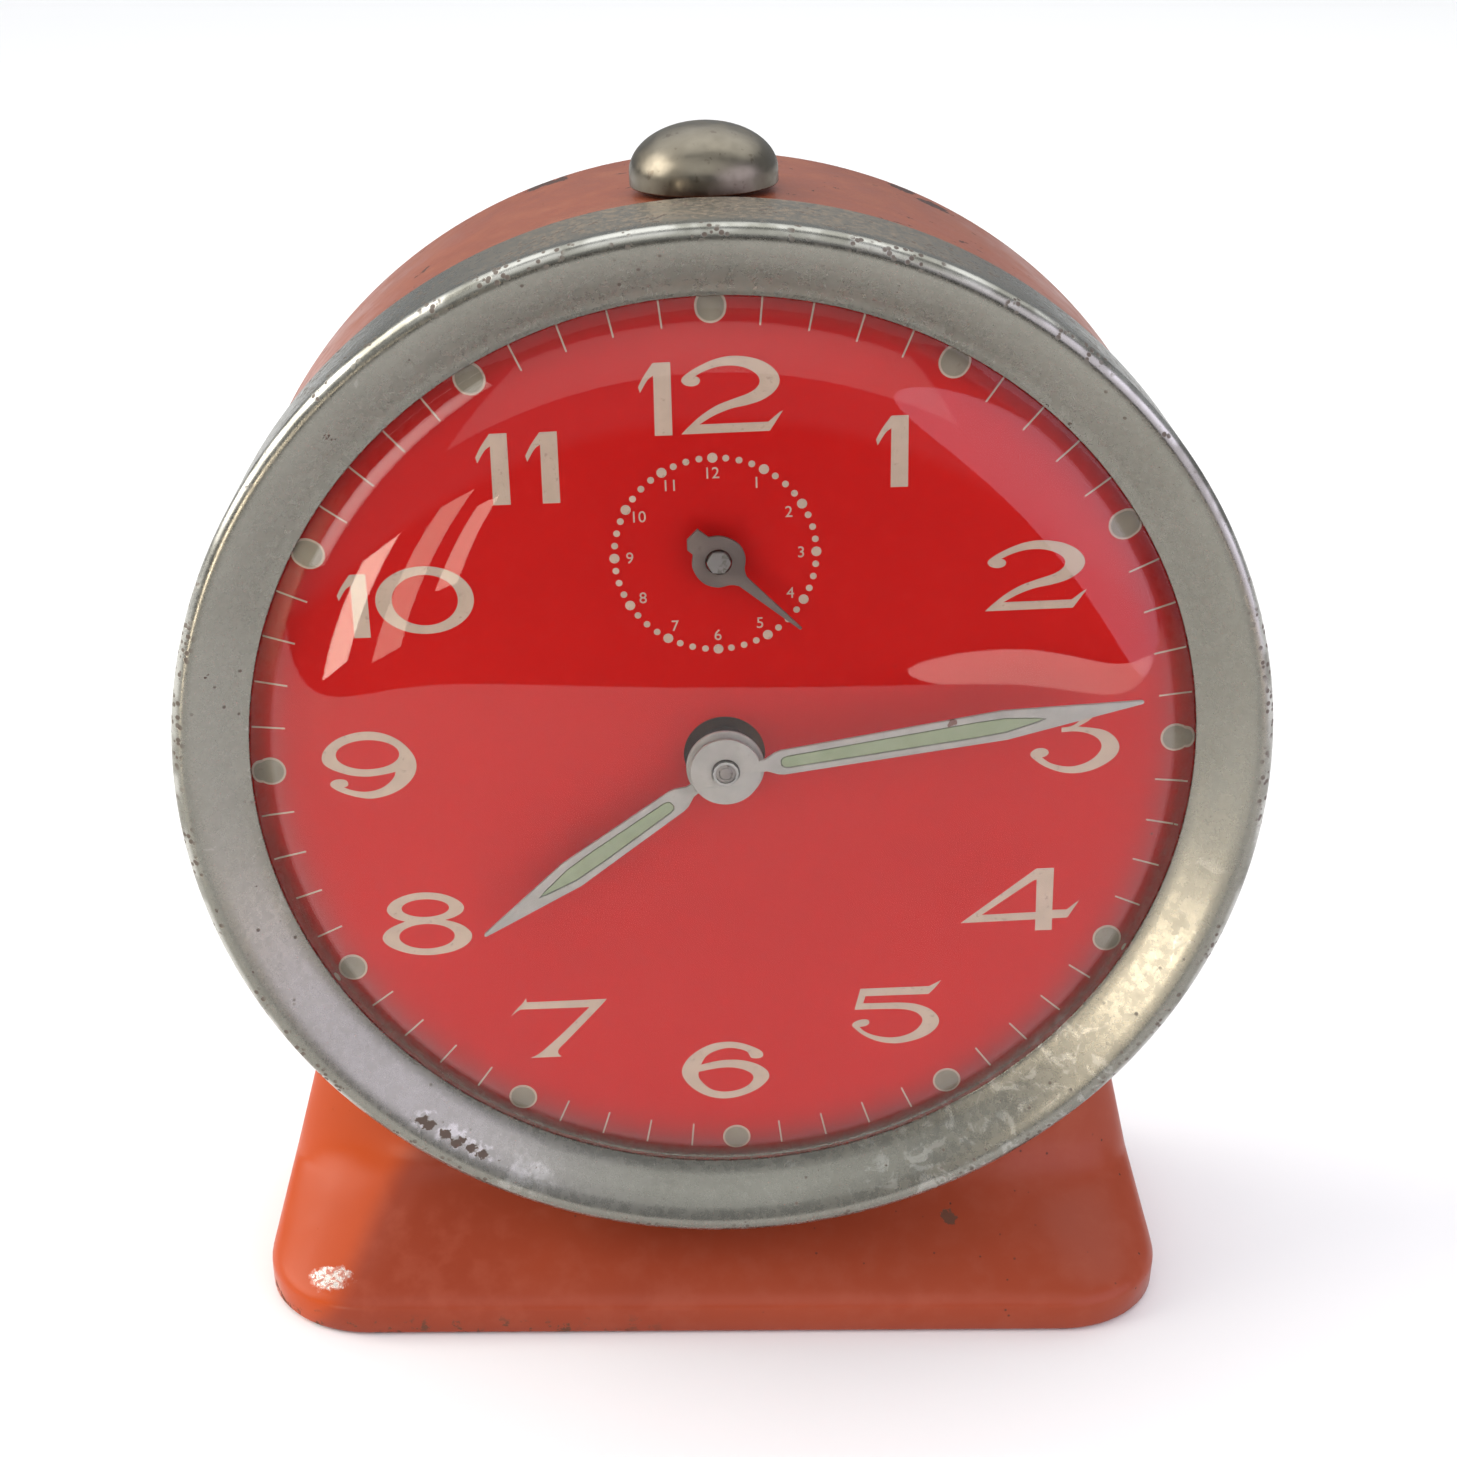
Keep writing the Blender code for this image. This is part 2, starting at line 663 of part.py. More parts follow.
def spiral(inner, outer, turns, ribbon, count):
    """A wound ribbon, as one closed outline."""
    steps = turns * count
    out, back = [], []
    for step in range(steps + 1):
        middle = inner + (outer - inner) * step / steps
        angle = TURN * step / count
        out.append(polar(middle + ribbon / 2, angle))
        back.append(polar(middle - ribbon / 2, angle))
    return out + back[::-1]


def arbor(name, centre, back=None, radius=ARBOR_RADIUS, pivot=PIVOT_RADIUS):
    """An arbor with a pivot in each plate, or with a back end that goes on through the back plate."""
    outline = [
        (0.0, FRONT_PLATE_DEPTH),
        (pivot, FRONT_PLATE_DEPTH),
        (pivot, FRONT_PLATE_BACK + END_SHAKE),
        (radius, FRONT_PLATE_BACK + END_SHAKE),
    ]
    if back is None:
        outline.append((radius, BACK_PLATE_DEPTH - END_SHAKE))
        outline.append((pivot, BACK_PLATE_DEPTH - END_SHAKE))
        outline += [(pivot, BACK_PLATE_BACK), (0.0, BACK_PLATE_BACK)]
    else:
        outline += [(radius, back), (0.0, back)]
    return spun(name, outline, ROUND_SHAFT, centre)


def leaves(name, teeth, module, phase, layer, sheet, centre):
    """A pinion a little longer than the wheel it meets."""
    loops = [pinion_outline(teeth, module, phase)]
    front = layer - PINION_OVERHANG
    return solid(plate(name, loops, front, sheet + 2 * PINION_OVERHANG, centre))


def train_wheel(name, teeth, module, phase, layer, centre):
    """A spoked wheel with a bore for its arbor."""
    bore = hole(ARBOR_RADIUS + RUN_GAP, count=ROUND_PIVOT_HOLE)
    loops = [wheel_outline(teeth, module, phase), bore]
    loops += windows(teeth * module / 2, TRAIN_SPOKES)
    return plate(name, loops, layer, WHEEL_SHEET, centre)


def make_bezel():
    """A pressed ring: band, rounded edge and a dish that slopes back to the glass."""
    edge = BEZEL_RADIUS - BEZEL_EDGE_ROUND
    rounded = arc((edge, BEZEL_EDGE_ROUND), (BEZEL_EDGE_ROUND,) * 2, 0.0, -math.pi / 2, CORNER_STEPS)
    width = edge - BEZEL_INNER_RADIUS
    dish = [(edge - width * across, BEZEL_DISH_DEPTH * deep) for across, deep in DISH_SHARES]
    face = rounded + dish + [(BEZEL_INNER_RADIUS, BEZEL_DISH_DEPTH)]
    back = [(BEZEL_INNER_RADIUS, BEZEL_DISH_DEPTH + BEZEL_SHEET)]
    back += [(radius, depth + BEZEL_SHEET) for radius, depth in reversed(dish)]
    back += [(edge - BEZEL_SHEET, BEZEL_SHEET), (BEZEL_RADIUS - BEZEL_SHEET, BEZEL_EDGE_ROUND + BEZEL_SHEET)]
    outline = [(BEZEL_RADIUS, BEZEL_BAND_DEPTH), *face, *back]
    outline.append((BEZEL_RADIUS - BEZEL_SHEET, BEZEL_BAND_DEPTH))
    dress(spun("bezel", outline, ROUND_CASE), SATIN_NICKEL)


def make_crystal():
    """A domed glass with a steep round shoulder and a flat flange behind the bezel's lip."""
    wall = BEZEL_INNER_RADIUS - FIT_GAP
    flange_front = BEZEL_DISH_DEPTH + BEZEL_SHEET + FIT_GAP
    flange_back = flange_front + GLASS_FLANGE_SHEET
    crown = GLASS_SHOULDER_DROP - GLASS_PROUD
    edge = wall - GLASS_SHOULDER_ROUND
    centre = (edge, crown + GLASS_SHOULDER_ROUND)
    outside = dome(edge, crown, -GLASS_PROUD, CORNER_STEPS)[:-1]
    outside += arc(centre, (GLASS_SHOULDER_ROUND,) * 2, -math.pi / 2, 0.0, CORNER_STEPS)
    inner_round = GLASS_SHOULDER_ROUND - GLASS_THICKNESS
    inside = dome(edge, crown + GLASS_THICKNESS, GLASS_THICKNESS - GLASS_PROUD, CORNER_STEPS)
    inside.append((wall - GLASS_THICKNESS, centre[1]))
    outline = [*outside, (wall, flange_front), (wall + GLASS_FLANGE, flange_front)]
    outline += [(wall + GLASS_FLANGE, flange_back), (edge + inner_round, flange_back), *reversed(inside)]
    dress(spun("crystal", outline, ROUND_CASE), CLEAR_GLASS)


def make_dial():
    """The printed dial plate on three feet that pass through the front plate."""
    loops = [
        circle(DIAL_RADIUS, ROUND_CASE),
        hole(DIAL_HOLE_RADIUS, count=ROUND_HUB),
        hole(ALARM_ARBOR_RADIUS + FIT_GAP, ALARM_SET),
    ]
    dial = solid(plate("dial", loops, DIAL_DEPTH, DIAL_SHEET))
    for number, place in enumerate(DIAL_FEET):
        outline = [
            (0.0, DIAL_DEPTH + DIAL_SHEET / 2),
            (DIAL_FOOT_RADIUS, DIAL_DEPTH + DIAL_SHEET / 2),
            (DIAL_FOOT_RADIUS, FRONT_PLATE_BACK),
            (0.0, FRONT_PLATE_BACK),
        ]
        join(dial, spun(f"dial_foot_{number}", outline, ROUND_SHAFT, place))
    dress(dial, RED_PRINT)


def radial(obj, angle):
    """Point an object's z away from the head's axis, at this angle from straight down, to the left."""
    obj.location = (0.0, FRONT_Y + FOOT_CENTRE_DEPTH, HEAD_HEIGHT)
    obj.rotation_euler = (0.0, math.pi + angle, 0.0)
    return obj


def foot_screw_hole(name, angle):
    """A cutter along one foot screw, through the saddle and the drum."""
    radius = FOOT_SCREW_RADIUS + FIT_GAP
    far = DRUM_RADIUS + FOOT_SHEET + FOOT_SCREW_LENGTH
    near = DRUM_BORE - FOOT_SCREW_LENGTH
    outline = [(0.0, far), (radius, far), (radius, near), (0.0, near)]
    return radial(turned(name, outline, ROUND_HOLE), angle)


def make_drum():
    """A painted can with a turned-in lip at each end."""
    back = DRUM_REAR_DEPTH
    front = DRUM_FRONT_DEPTH
    outline = [
        (DRUM_BORE - DRUM_FRONT_LIP, front),
        (DRUM_RADIUS, front),
        (DRUM_RADIUS, back - DRUM_CORNER),
        (DRUM_RADIUS - DRUM_CORNER, back),
        (DRUM_BORE - DRUM_REAR_LIP, back),
        (DRUM_BORE - DRUM_REAR_LIP, back - DRUM_SHEET),
        (DRUM_BORE, back - DRUM_SHEET - DRUM_CORNER),
        (DRUM_BORE, front + DRUM_SHEET),
        (DRUM_BORE - DRUM_FRONT_LIP, front + DRUM_SHEET),
    ]
    drum = spun("drum_case", outline, ROUND_CASE)
    for side, angle in (("left", FOOT_SCREW_ANGLE), ("right", -FOOT_SCREW_ANGLE)):
        cut(drum, foot_screw_hole(f"drum_screw_hole_{side}", angle))
    bush_hole = [
        (0.0, DRUM_RADIUS + CUT_OVERRUN),
        (BUSH_RADIUS + FIT_GAP, DRUM_RADIUS + CUT_OVERRUN),
        (BUSH_RADIUS + FIT_GAP, DRUM_BORE - CUT_OVERRUN),
        (0.0, DRUM_BORE - CUT_OVERRUN),
    ]
    cut(drum, on_top(turned("drum_bush_hole", bush_hole, ROUND_HUB)))
    dress(drum, CORAL_PAINT)


def on_top(obj):
    """Stand an object on the head's own vertical, in the middle of the drum's depth."""
    obj.parent = HEAD
    obj.location = (0.0, FOOT_CENTRE_DEPTH, 0.0)
    return obj


def foot_ring(height, lean, pull, growth, inset):
    """One level of the foot: a rounded oblong, its corners wider across than deep near the top."""
    waist = FOOT_WAIST
    half_x = FOOT_HALF_WIDTH + (FOOT_TOP_HALF_WIDTH - FOOT_HALF_WIDTH) * lean - inset
    half_y = FOOT_HALF_DEPTH + (waist - FOOT_HALF_DEPTH) * pull - inset
    corner_x = FOOT_CORNER + (FOOT_TOP_CORNER - FOOT_CORNER) * growth - inset
    corner_y = min(FOOT_CORNER - inset, half_y - RUN_GAP)
    points = []
    for quarter, (sign_x, sign_y) in enumerate(((1, 1), (-1, 1), (-1, -1), (1, -1))):
        centre = (sign_x * (half_x - corner_x), sign_y * (half_y - corner_y))
        start = quarter * math.pi / 2
        points += arc(centre, (corner_x, corner_y), start, start + math.pi / 2, ARC_STEPS)
    return [(x, y, height) for x, y in points]


def loft(name, rings):
    """A closed body through rings of equally many points."""
    shape = bmesh.new()
    layers = [[shape.verts.new(point) for point in ring] for ring in rings]
    for low, high in zip(layers, layers[1:]):
        for index in range(len(low)):
            after = (index + 1) % len(low)
            shape.faces.new((low[index], low[after], high[after], high[index]))
    shape.faces.new(layers[0][::-1])
    shape.faces.new(layers[-1])
    bmesh.ops.recalc_face_normals(shape, faces=shape.faces)
    mesh = bpy.data.meshes.new(name)
    shape.to_mesh(mesh)
    shape.free()
    mesh.shade_smooth()
    mesh.set_sharp_from_angle(angle=SHARP_ANGLE)
    obj = bpy.data.objects.new(name, mesh)
    PARTS.objects.link(obj)
    obj.location = (0.0, FRONT_Y + FOOT_CENTRE_DEPTH, 0.0)
    return obj


def foot_body(name, inset):
    """The foot's outside, or with an inset its hollow, narrower at the turned-in lip."""
    rise = FOOT_TOP - FOOT_SKIRT
    if inset:
        lip = inset + FOOT_LIP
        rings = [foot_ring(height, 0, 0, 0, lip) for height in (-CUT_OVERRUN, inset)]
        rings.append(foot_ring(inset, 0, 0, 0, inset))
        drop = inset
    else:
        rings = [foot_ring(0.0, 0, 0, 0, 0.0)]
        drop = 0.0
    for share, lean, pull, growth in FOOT_HOLLOW_SHARES if inset else FOOT_SHARES:
        rings.append(foot_ring(FOOT_SKIRT + share * rise - drop, lean, pull, growth, inset))
    return loft(name, rings)


def saddle(name, radius):
    """A cylinder along the head's axis, as deep as the foot."""
    depth = FOOT_HALF_DEPTH + CUT_OVERRUN
    outline = [(0.0, -depth), (radius, -depth), (radius, depth), (0.0, depth)]
    obj = turned(name, outline, ROUND_CASE)
    obj.location = (0.0, FRONT_Y + FOOT_CENTRE_DEPTH, HEAD_HEIGHT)
    obj.rotation_euler = (math.pi / 2, 0.0, 0.0)
    return obj


def make_foot():
    """A pressed foot whose top is a saddle under the drum, open below, and its two screws."""
    seat = DRUM_RADIUS + FIT_GAP
    hollow = cut(foot_body("foot_hollow", FOOT_SHEET), saddle("saddle_web", seat + FOOT_SHEET))
    foot = foot_body("foot", 0.0)
    cut(foot, saddle("drum_seat", seat))
    cut(foot, hollow)
    under = seat + FOOT_SHEET + FIT_GAP
    crown = under + FOOT_SCREW_HEAD_HEIGHT
    for side, angle in (("left", FOOT_SCREW_ANGLE), ("right", -FOOT_SCREW_ANGLE)):
        cut(foot, foot_screw_hole(f"foot_screw_hole_{side}", angle))
        outline = [
            (0.0, crown),
            (FOOT_SCREW_HEAD_RADIUS * SCREW_CROWN_SHARE, crown),
            (FOOT_SCREW_HEAD_RADIUS, under + FOOT_SCREW_HEAD_HEIGHT * SCREW_CROWN_SHARE),
            (FOOT_SCREW_HEAD_RADIUS, under),
            (FOOT_SCREW_RADIUS, under),
            (FOOT_SCREW_RADIUS, under - FOOT_SCREW_LENGTH),
            (0.0, under - FOOT_SCREW_LENGTH),
        ]
        dress(radial(turned(f"foot_screw_{side}", outline, ROUND_PIVOT_HOLE), angle), STEEL)
    dress(foot, CORAL_PAINT)


def make_button():
    """The domed stop button, its stem with a collar, and the bush that guides it through the drum."""
    rim = DRUM_RADIUS + FIT_GAP
    shoulder = rim + BUTTON_RIM_HEIGHT
    quarter = (0.0, math.pi / 2)
    outside = arc((0.0, shoulder), (BUTTON_RADIUS, BUTTON_DOME_HEIGHT), *quarter, ARC_STEPS)
    hollow = (BUTTON_RADIUS - BUTTON_SHEET, BUTTON_DOME_HEIGHT - BUTTON_SHEET)
    inside = arc((0.0, shoulder), hollow, *quarter, DOME_STEPS)
    outside[-1] = (0.0, outside[-1][1])
    inside[-1] = (0.0, inside[-1][1])
    outline = [*reversed(inside), (hollow[0], rim), (BUTTON_RADIUS, rim), *outside]
    dress(on_top(turned("stop_button", outline, ROUND_BUTTON)), BRIGHT_NICKEL)
    top = inside[-1][1] - FIT_GAP
    foot = top - BUTTON_STEM_LENGTH
    stem = [
        (0.0, top),
        (BUTTON_STEM_RADIUS, top),
        (BUTTON_STEM_RADIUS, foot + BUTTON_COLLAR_HEIGHT),
        (BUTTON_COLLAR_RADIUS, foot + BUTTON_COLLAR_HEIGHT),
        (BUTTON_COLLAR_RADIUS, foot),
        (0.0, foot),
    ]
    dress(on_top(turned("button_stem", stem, ROUND_HOLE)), STEEL)
    bore = BUTTON_STEM_RADIUS + FIT_GAP
    bush = [
        (bore, rim + BUSH_FLANGE_HEIGHT),
        (BUSH_FLANGE_RADIUS, rim + BUSH_FLANGE_HEIGHT),
        (BUSH_FLANGE_RADIUS, rim),
        (BUSH_RADIUS, rim),
        (BUSH_RADIUS, rim - BUSH_LENGTH),
        (bore, rim - BUSH_LENGTH),
    ]
    dress(on_top(turned("button_bush", bush, ROUND_HUB)), STEEL)


def regulator_slot():
    """The curved slot that the regulator's tail moves in."""
    reach = REGULATOR_TAIL_RADIUS + COVER_HOLE_GAP / 2
    swing = REGULATOR_SWING + math.asin(reach / REGULATOR_LENGTH)
    start, end = REGULATOR_BEARING - swing, REGULATOR_BEARING + swing
    outside = arc(BALANCE, (REGULATOR_LENGTH + reach,) * 2, start, end, ARC_STEPS)
    inside = arc(BALANCE, (REGULATOR_LENGTH - reach,) * 2, end, start, ARC_STEPS)
    return outside + inside


def make_back_cover():
    """A dished disc inside the drum's rear lip, with the holes for arbors and regulator, and its screws."""
    rim_inner = COVER_RADIUS - COVER_RIM_WIDTH
    pan = rim_inner - COVER_STEP_WIDTH
    outline = [
        (0.0, COVER_PAN_BACK),
        (pan, COVER_PAN_BACK),
        (rim_inner, COVER_RIM_BACK),
        (COVER_RADIUS, COVER_RIM_BACK),
        (COVER_RADIUS, COVER_RIM_BACK - COVER_SHEET),
        (rim_inner, COVER_RIM_BACK - COVER_SHEET),
        (pan, COVER_PAN_FRONT),
        (0.0, COVER_PAN_FRONT),
    ]
    cover = spun("back_cover", outline, ROUND_CASE)
    loops = [
        hole(CENTRE_ARBOR_RADIUS + COVER_HOLE_GAP),
        hole(ALARM_ARBOR_RADIUS + COVER_HOLE_GAP, ALARM_SET),
        hole(WINDING_ARBOR_RADIUS + COVER_HOLE_GAP, GREAT),
        hole(WINDING_ARBOR_RADIUS + COVER_HOLE_GAP, ALARM_GREAT),
        regulator_slot(),
    ]
    loops += [hole(COVER_SCREW_RADIUS + FIT_GAP, place, ROUND_PIVOT_HOLE) for place in PILLARS]
    drill(cover, "cover_holes", loops, COVER_PAN_FRONT, COVER_RIM_BACK)
    dress(cover, CORAL_PAINT)
    seat = COVER_PAN_BACK + FIT_GAP
    crown = seat + COVER_SCREW_HEAD_HEIGHT
    tip = COVER_PAN_FRONT - PILLAR_BORE_DEPTH / 2
    for number, place in enumerate(PILLARS, start=1):
        profile = [
            (0.0, crown),
            (COVER_SCREW_HEAD_RADIUS * SCREW_CROWN_SHARE, crown),
            (COVER_SCREW_HEAD_RADIUS, seat + COVER_SCREW_HEAD_HEIGHT * SCREW_CROWN_SHARE),
            (COVER_SCREW_HEAD_RADIUS, seat),
            (COVER_SCREW_RADIUS, seat),
            (COVER_SCREW_RADIUS, tip),
            (0.0, tip),
        ]
        dress(spun(f"cover_screw_{number}", profile, ROUND_PIVOT_HOLE, place), STEEL)


def make_plates():
    """The two movement plates: the front one with the minute wheel's stud, the back one with a boss."""
    thick = [hole(WINDING_PIVOT_RADIUS + RUN_GAP, place) for place in (GREAT, ALARM_GREAT)]
    thin = [hole(PIVOT_RADIUS + PIVOT_GAP, place, ROUND_SHAFT) for place in PIVOTED]
    fronts = [hole(PIVOT_RADIUS + PIVOT_GAP, place, ROUND_SHAFT) for place in (BALANCE, HAMMER)]
    shared = [
        circle(PLATE_RADIUS, ROUND_PLATE),
        hole(CENTRE_ARBOR_RADIUS + RUN_GAP),
        hole(ALARM_ARBOR_RADIUS + RUN_GAP, ALARM_SET),
        *[hole(PILLAR_NECK_RADIUS + FIT_GAP, place, ROUND_SHAFT) for place in PILLARS],
        *thin,
    ]
    fronts += [hole(DIAL_FOOT_RADIUS + FIT_GAP, place, ROUND_SHAFT) for place in DIAL_FEET]
    front = solid(plate("front_plate", shared + thick + fronts, FRONT_PLATE_DEPTH, PLATE_SHEET))
    stud = [
        (0.0, HOUR_LAYER - PINION_OVERHANG),
        (MINUTE_STUD_RADIUS, HOUR_LAYER - PINION_OVERHANG),
        (MINUTE_STUD_RADIUS, FRONT_PLATE_BACK - RUN_GAP),
        (0.0, FRONT_PLATE_BACK - RUN_GAP),
    ]
    dress(join(front, spun("minute_stud", stud, ROUND_SHAFT, MINUTE_WHEEL)), BRASS)
    wide = WINDING_ARBOR_RADIUS + RUN_GAP
    through = [hole(wide, place, ROUND_WINDING_HOLE) for place in (GREAT, ALARM_GREAT)]
    through.append(hole(ARBOR_RADIUS + RUN_GAP, HAMMER))
    back = solid(plate("back_plate", shared + through, BACK_PLATE_DEPTH, PLATE_SHEET))
    top = BACK_PLATE_BACK + REGULATOR_LAYER_GAP + REGULATOR_SHEET + END_SHAKE
    boss = [(0.0, top), (REGULATOR_BOSS_RADIUS, top), (REGULATOR_BOSS_RADIUS, BACK_PLATE_DEPTH + RUN_GAP)]
    boss.append((0.0, BACK_PLATE_DEPTH + RUN_GAP))
    join(back, spun("regulator_boss", boss, ROUND_HOLE, BALANCE))
    pivot = PIVOT_RADIUS + PIVOT_GAP
    end = BACK_PLATE_BACK + RUN_GAP
    start = BACK_PLATE_DEPTH - CUT_OVERRUN
    blind = [(0.0, start), (pivot, start), (pivot, end), (0.0, end)]
    dress(cut(back, spun("balance_pivot_hole", blind, ROUND_PIVOT_HOLE, BALANCE)), BRASS)
    rear = COVER_PAN_FRONT - FIT_GAP
    for number, place in enumerate(PILLARS, start=1):
        outline = [
            (0.0, FRONT_PLATE_DEPTH),
            (PILLAR_NECK_RADIUS, FRONT_PLATE_DEPTH),
            (PILLAR_NECK_RADIUS, FRONT_PLATE_BACK + RUN_GAP),
            (PILLAR_RADIUS, FRONT_PLATE_BACK + RUN_GAP),
            (PILLAR_RADIUS, BACK_PLATE_DEPTH - RUN_GAP),
            (PILLAR_NECK_RADIUS, BACK_PLATE_DEPTH - RUN_GAP),
            (PILLAR_NECK_RADIUS, rear),
            (PILLAR_BORE_RADIUS, rear),
            (PILLAR_BORE_RADIUS, rear - PILLAR_BORE_DEPTH),
            (0.0, rear - PILLAR_BORE_DEPTH),
        ]
        dress(spun(f"pillar_{number}", outline, ROUND_SHAFT, place), STEEL)


def hand(name, hub, bore, stations, place, depth, angle, tail=(0.0, 0.0)):
    """A hand pointing at an angle clockwise from the top: (distance, width) stations from neck to tip."""
    below = [(distance, -width / 2) for distance, width in stations]
    above = [(distance, width / 2) for distance, width in reversed(stations)]
    neck = math.asin(stations[0][1] / 2 / hub)
    reach, width = tail
    if reach:
        root = math.pi - math.asin(width / 2 / hub)
        round_hub = arc(CENTRE, (hub, hub), neck, root, ARC_STEPS)
        round_hub += [(-reach, width / 2), (-reach, -width / 2)]
        round_hub += arc(CENTRE, (hub, hub), TURN - root, TURN - neck, ARC_STEPS)
    else:
        round_hub = arc(CENTRE, (hub, hub), neck, TURN - neck, ROUND_HUB)
    loops = [below[1:] + above[:-1] + round_hub, circle(bore, ROUND_HOLE)]
    return plate(name, loops, depth, HAND_SHEET, place, math.pi / 2 - angle)


def make_hands():
    """Three pressed hands, each round its own pipe."""
    cannon_bore = CANNON_TIP_RADIUS + RUN_GAP
    pipe_bore = CANNON_RADIUS + RUN_GAP + PIPE_WALL + FIT_GAP
    for name, length, bore, depth, angle in (
        ("minute_hand", MINUTE_HAND_LENGTH, cannon_bore, MINUTE_HAND_DEPTH, MINUTE_HAND_ANGLE),
        ("hour_hand", HOUR_HAND_LENGTH, pipe_bore, HOUR_HAND_DEPTH, HOUR_HAND_ANGLE),
    ):
        stations = [
            (HAND_HUB_RADIUS, HAND_NECK_WIDTH),
            (HAND_SHOULDER_REACH, HAND_SHOULDER_WIDTH),
            (length * HAND_WIDEST_SHARE, HAND_BLADE_WIDTH),
            (length, HAND_TIP_WIDTH),
        ]
        dress(hand(name, HAND_HUB_RADIUS, bore, stations, CENTRE, depth, angle), HAND_WHITE)
    stations = [(ALARM_HUB_RADIUS, ALARM_HAND_WIDTH), (ALARM_HAND_LENGTH, HAND_TIP_WIDTH)]
    bore = ALARM_ARBOR_RADIUS + RUN_GAP
    tail = (ALARM_NUB_REACH, ALARM_NUB_WIDTH)
    alarm = hand(
        "alarm_hand", ALARM_HUB_RADIUS, bore, stations, ALARM_SET, ALARM_HAND_DEPTH, ALARM_HAND_ANGLE, tail
    )
    dress(alarm, DARK_BRONZE)


def make_motion_work():
    """The cannon pinion, the minute wheel, the hour wheel with its pipe, and the alarm wheel beside it."""
    minute_phase = 0.0
    inward = MINUTE_WHEEL_BEARING + math.pi
    cannon_phase = mate_phase(minute_phase, MINUTE_WHEEL_TEETH, MOTION_DRIVE_LEAVES, inward)
    hour_phase = mate_phase(minute_phase, MINUTE_PINION_TEETH, HOUR_TEETH, inward)
    alarm_phase = mate_phase(hour_phase, HOUR_TEETH, HOUR_TEETH, math.pi / 2)
    bore = CENTRE_ARBOR_RADIUS + RUN_GAP
    tip = MINUTE_HAND_DEPTH - CANNON_TIP_PROUD
    shoulder = MINUTE_HAND_DEPTH + HAND_SHEET + RUN_GAP
    end = MINUTE_WHEEL_LAYER + MOTION_SHEET + PINION_OVERHANG
    cannon = [
        (bore, tip),
        (CANNON_TIP_RADIUS, tip),
        (CANNON_TIP_RADIUS, shoulder),
        (CANNON_RADIUS, shoulder),
        (CANNON_RADIUS, end),
        (bore, end),
    ]
    loops = [
        pinion_outline(MOTION_DRIVE_LEAVES, MOTION_MODULE, cannon_phase),
        hole((bore + CANNON_RADIUS) * PIPE_BORE_SHARE),
    ]
    front = MINUTE_WHEEL_LAYER - PINION_OVERHANG
    length = end - front - PINION_OVERHANG / 2
    drive = solid(plate("cannon_leaves", loops, front, length))
    dress(join(spun("cannon_pinion", cannon, ROUND_HUB), drive), STEEL)
    stud = MINUTE_STUD_RADIUS + RUN_GAP
    loops = [wheel_outline(MINUTE_WHEEL_TEETH, MOTION_MODULE, minute_phase), hole(stud)]
    minute = solid(plate("minute_wheel", loops, MINUTE_WHEEL_LAYER, MOTION_SHEET, MINUTE_WHEEL))
    loops = [pinion_outline(MINUTE_PINION_TEETH, MINUTE_PINION_MODULE, minute_phase), hole(stud)]
    length = MINUTE_WHEEL_LAYER - HOUR_LAYER + MOTION_SHEET / 2
    join(minute, solid(plate("minute_leaves", loops, HOUR_LAYER, length, MINUTE_WHEEL)))
    dress(minute, BRASS)
    inner = CANNON_RADIUS + RUN_GAP
    outer = inner + PIPE_WALL
    top = HOUR_HAND_DEPTH - RUN_GAP
    floor = HOUR_LAYER + MOTION_SHEET
    pipe = [(inner, top), (outer, top), (outer, floor), (inner, floor)]
    middle = (inner + outer) * PIPE_BORE_SHARE
    loops = [wheel_outline(HOUR_TEETH, HOUR_MODULE, hour_phase), hole(middle, count=ROUND_HUB)]
    disc = solid(plate("hour_disc", loops, HOUR_LAYER, MOTION_SHEET - RUN_GAP))
    dress(join(spun("hour_wheel", pipe, ROUND_HUB), disc), BRASS)
    loops = [wheel_outline(HOUR_TEETH, HOUR_MODULE, alarm_phase), hole(ALARM_ARBOR_RADIUS + RUN_GAP)]
    dress(plate("alarm_wheel", loops, HOUR_LAYER, MOTION_SHEET, ALARM_SET), BRASS)


